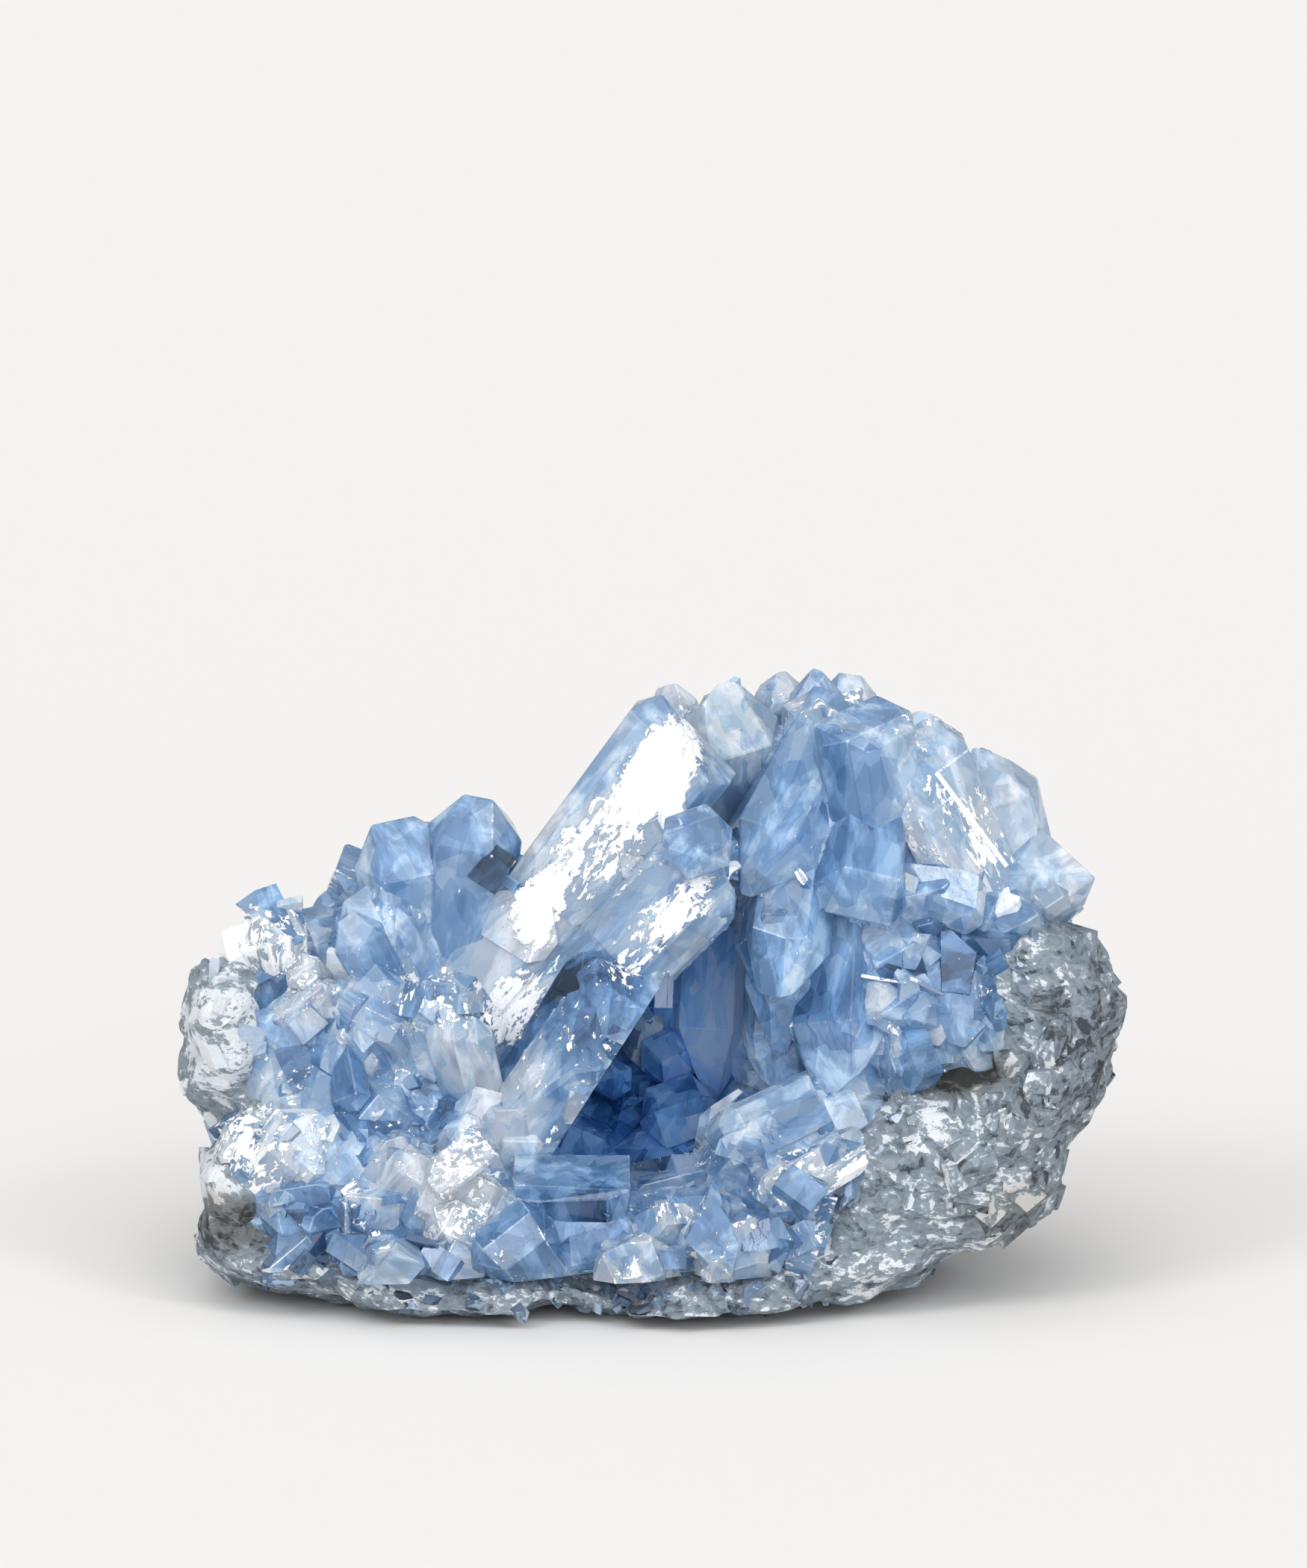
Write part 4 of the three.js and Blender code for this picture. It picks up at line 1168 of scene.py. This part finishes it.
def makeCluster():
    rng = random.Random(bed["seed"])
    base = remesh(makeBase("celestiteCluster"), bed["voxel"], bed["sink"])
    coatBase(base, rng, {"tone": 0.5, "frost": 0.2, "spread": 0.05})
    large = leftCrystals + blades + topCrystals + rightCrystals + floorCrystals
    calm = [c for c in large if c.get("busy", 1) < 1]
    rough = [c for c in large if c.get("busy", 1) >= 1]
    rough += [c for i, core in enumerate(cores) for c in sproutsOn(core, sprout["firstSeed"] + i)]
    bodies, small = [], []
    for c in rough:
        family = [c] + partnersOf(c, bed["partners"], rng)
        bodies += [crystalObject(p, rng, 1) for p in family if p["tip"].z > bed["foot"] + 1.5]
        small += satellitesOn(c, bed["satellites"], rng)
    bodies += bedFragments(base, calm, rng)
    small = [c for c in small if insideBox(c["tip"]) and c["tip"].z > bed["foot"] + 2
             and not onCalm(c["tip"], calm) and not inRounds(c["tip"], rockFills + bare)]
    bodies += [crystalObject(c, rng, 1) for c in calm]
    for c in calm:
        count = round(bed["partners"] * c["busy"])
        bodies += [crystalObject(p, rng, 1) for p in partnersOf(c, count, rng)]
    bodies += [crystalObject(c, rng, 0, 0.1) for c in small]
    bodies += [terraceObject(blades[blade], *sizes, look, rng) for blade, sizes, look in terraces]
    print("joining", len(bodies), "crystals")
    joinSolids(base, bodies)
    openHollow(base)
    front = treeOf(base)
    # the painted highlights, dark reflections and shade, laid along edges and facets
    marks = [streakObject(front, (a, b), width, {"tone": tone, "frost": frost, "spread": 0}, rng)
             for a, b, width, tone, frost in paintedStreaks]
    joinSolids(base, [mark for mark in marks if mark])
    keepLargest(base)
    finishPiece(base, paleCelestite, "crystal_cluster")


makeCluster()

milk = {
    "seed": 21,
    "voxel": 1.2,  # mm
    "sink": 3.4,
    "cracks": 500,
    "crackSize": (3, 6),
    "crackSlab": 0.3,
    "crackDepth": 1.0,
    "wider": 1.35,  # the mouth of the hollow is cut this much wider than in the clear crystals
}


def makeMilk():
    # cloudy celestite that the clear crystals grow from, and that shows through them, with healed
    # cracks turned every way
    rng = random.Random(milk["seed"])
    base = remesh(remesh(makeBase("milkyRoots"), milk["voxel"], milk["sink"]), milk["voxel"])
    openHollow(base, milk["wider"])
    keepLargest(base)
    bodies = []
    for face in rng.sample(list(base.data.polygons), milk["cracks"]):
        way = straying(rng, 1).normalized()
        place = face.center - face.normal * milk["crackDepth"]
        look = {"tone": rng.random(), "spread": 0.25}
        size = rng.uniform(*milk["crackSize"])
        bodies.append(fragmentObject(place, way, size, look, rng, milk["crackSlab"], 0))
    joinSolids(base, bodies)
    keepLargest(base)
    finishPiece(base, milkyCelestite, "crystal_cluster")


makeMilk()

crust = {"seed": 8, "tone": 0.6, "spread": 0.2}


def makeHollow():
    rng = random.Random(crust["seed"])
    base = copyOfNode("hollow_crust", "hollowCrystals")
    coatBase(base, rng, {"tone": crust["tone"], "spread": crust["spread"]})
    joinSolids(base, [crystalObject(c, rng, 1) for c in hollowList])
    finishPiece(base, deepCelestite, "hollow_crust")


makeHollow()

rock = {
    "seed": 3,
    "voxel": 1.1,  # mm
    "rounding": 12,  # rounds of smoothing
    "lumps": {"high": 1.6, "wide": 9, "sunk": 0.35},  # mm, mm, and a share
    "slope": {"by": 3.0, "below": 30, "from": 20, "over": 40},  # the right side leans in, mm
    "tone": 0.22,
    "fragments": 1900,
    "small": 1.6,  # mm
    "large": 7.0,
    "low": {"size": 2.0, "growth": 0.3},  # they are small near the ground, and larger higher up
    "leftRim": {"x": -63, "size": 2.5, "growth": 0.25},  # and at the left rim
    "proud": (-0.6, 0.4),  # mm
    "layers": 0.45,  # how flat the broken lumps lie in the layers
    "middle": (2, 0, 36),  # the layers run round this
    "stray": 0.4,
    "tones": (0.08, 0.36),
    "stained": {"below": 14, "most": 0.4},  # brown near the ground
    "bluish": 7,  # mm from the crystals
    "paleShellAndPaintedLight": {"left": -46, "low": 11, "high": 52, "share": 0.85},  # where the shell is pale and painted white as light falling from the left
}


def shapeRock(base):
    # rounds the solid, gives it lumps and leans its right side in towards the foot
    smooth = base.modifiers.new("round", "SMOOTH")
    smooth.factor, smooth.iterations = 0.5, rock["rounding"]
    applyModifiers(base)
    lumps, slope = rock["lumps"], rock["slope"]
    normals = [vert.normal.copy() for vert in base.data.vertices]
    for vert, normal in zip(base.data.vertices, normals):
        place = vert.co.copy()
        height = noise.fractal(place / lumps["wide"], 0.8, 2.0, 3) - lumps["sunk"]
        place += normal * lumps["high"] * height
        lean = clamp((slope["below"] - place.z) / slope["below"])
        place.x -= slope["by"] * lean * clamp((place.x - slope["from"]) / slope["over"])
        vert.co = [clamp(place[i], boxLow[i], boxHigh[i]) for i in range(3)]


def rockLook(place, rng):
    paleShellAndPaintedLight, stained = rock["paleShellAndPaintedLight"], rock["stained"]
    white = clamp((paleShellAndPaintedLight["left"] - place.x) / 6) * (paleShellAndPaintedLight["low"] < place.z < paleShellAndPaintedLight["high"])
    return {
        "tone": rng.uniform(*rock["tones"]),
        "spread": 0.1,
        "frost": white if rng.random() < paleShellAndPaintedLight["share"] else 0.2,
        "stain": rng.uniform(0, stained["most"]) * (place.z < stained["below"]),
        "blue": nearness(clusterTree, place, rock["bluish"]),
    }


def makeRock():
    rng = random.Random(rock["seed"])
    base = addRounds(copyOfNode("matrix", "hostRock"), rockFills)
    for vert in base.data.vertices:
        vert.co.z = max(vert.co.z, 0.05)
    base = remesh(base, rock["voxel"])
    shapeRock(base)
    coatBase(base, rng, {"tone": rock["tone"], "spread": 0.04})
    low, rim = rock["low"], rock["leftRim"]
    bodies = []
    for face in rng.sample(list(base.data.polygons), rock["fragments"]):
        at = face.center
        if at.z < 1 and face.normal.z < -0.7:
            continue  # it rests on its flat underside
        if inRounds(at, fills + bare):
            continue
        out = at - Vector(rock["middle"])
        out.y *= 0.3
        way = (out.normalized() * 0.4 + face.normal + straying(rng, rock["stray"])).normalized()
        size = rock["small"] + (rock["large"] - rock["small"]) * rng.random() ** 2
        size = min(size, low["size"] + low["growth"] * at.z, rim["size"] + rim["growth"] * (at.x - rim["x"]))
        place = at + face.normal * (rng.uniform(*rock["proud"]) - lump["buried"] * rock["layers"] * size)
        look = rockLook(place, rng)
        bodies.append(fragmentObject(place, way, size, look, rng, rock["layers"]))
    print("joining", len(bodies), "fragments of rock")
    joinSolids(base, bodies)
    keepLargest(base)
    finishPiece(base, hostRock, "matrix")


makeRock()

stageSizes = {"floor": 14.0, "paper": "#F1EFED"}  # metres, and colour


def makeFloor():
    bm = bmesh.new()
    bmesh.ops.create_grid(bm, x_segments=1, y_segments=1, size=stageSizes["floor"] / 2)
    floor = meshObject("floor", bm)
    paper, tree = newMaterial("paper_matt_white")  # matt paper sweep
    surface = addNode(tree, "ShaderNodeBsdfPrincipled", None, {
        "Base Color": linear(stageSizes["paper"]), "Roughness": 1.0, "Specular IOR Level": 0.0})
    addNode(tree, "ShaderNodeOutputMaterial", None, {"Surface": surface})
    floor.data.materials.append(paper)


makeFloor()


suns = [  # name, the way to it, strength, width of its disc in degrees
    ("windowLeft", (-0.55, -0.68, 0.60), 0.45, 22),
    ("softFront", (0.0, -0.8, 0.6), 1.75, 80),
    ("lowFront", (0.15, -1.0, 0.12), 0.4, 30),
    ("softTop", (0.0, 0.35, 0.92), 0.3, 40),
    ("windowRight", (0.60, -0.60, 0.55), 0.3, 12),
]


def addSun(name, towards, strength, disc):
    lamp = bpy.data.lights.new(name, "SUN")
    lamp.energy, lamp.angle = strength, math.radians(disc)
    holder = addObject(name, lamp)
    holder.rotation_euler = Vector(towards).to_track_quat("Z", "Y").to_euler()


for sun in suns:
    addSun(*sun)

skyStops = [(0.0, 0.43), (0.25, 0.45), (0.7, 0.48), (1.0, 0.48)]  # height, and brightness there


def makeWorld():
    world = bpy.data.worlds.new("studio")
    bpy.context.scene.world = world
    world.use_nodes = True
    tree = world.node_tree
    tree.nodes.clear()
    way = addNode(tree, "ShaderNodeTexCoord", output=0)
    height = addNode(tree, "ShaderNodeSeparateXYZ", None, {0: way}, output=2)
    sky = rampOf(tree, height, skyStops)
    back = addNode(tree, "ShaderNodeBackground", None, {"Color": sky, "Strength": 1.0})
    addNode(tree, "ShaderNodeOutputWorld", None, {"Surface": back})


makeWorld()


def makeCamera():
    lens = bpy.data.cameras.new("camera")
    lens.sensor_fit, lens.sensor_width = "AUTO", view["sensor"]
    lens.lens = view["sensor"] * view["distance"] / view["tall"]
    right, high = view["aim"]
    aim = Vector((right, 0, 0)) + viewUp * high + designToRow
    camera = addObject("camera", lens)
    camera.location = (aim + viewBack * view["distance"]) * 0.001
    camera.rotation_euler = viewBack.to_track_quat("Z", "Y").to_euler()
    bpy.context.scene.camera = camera


makeCamera()
bpy.context.scene.view_settings.view_transform = "Standard"
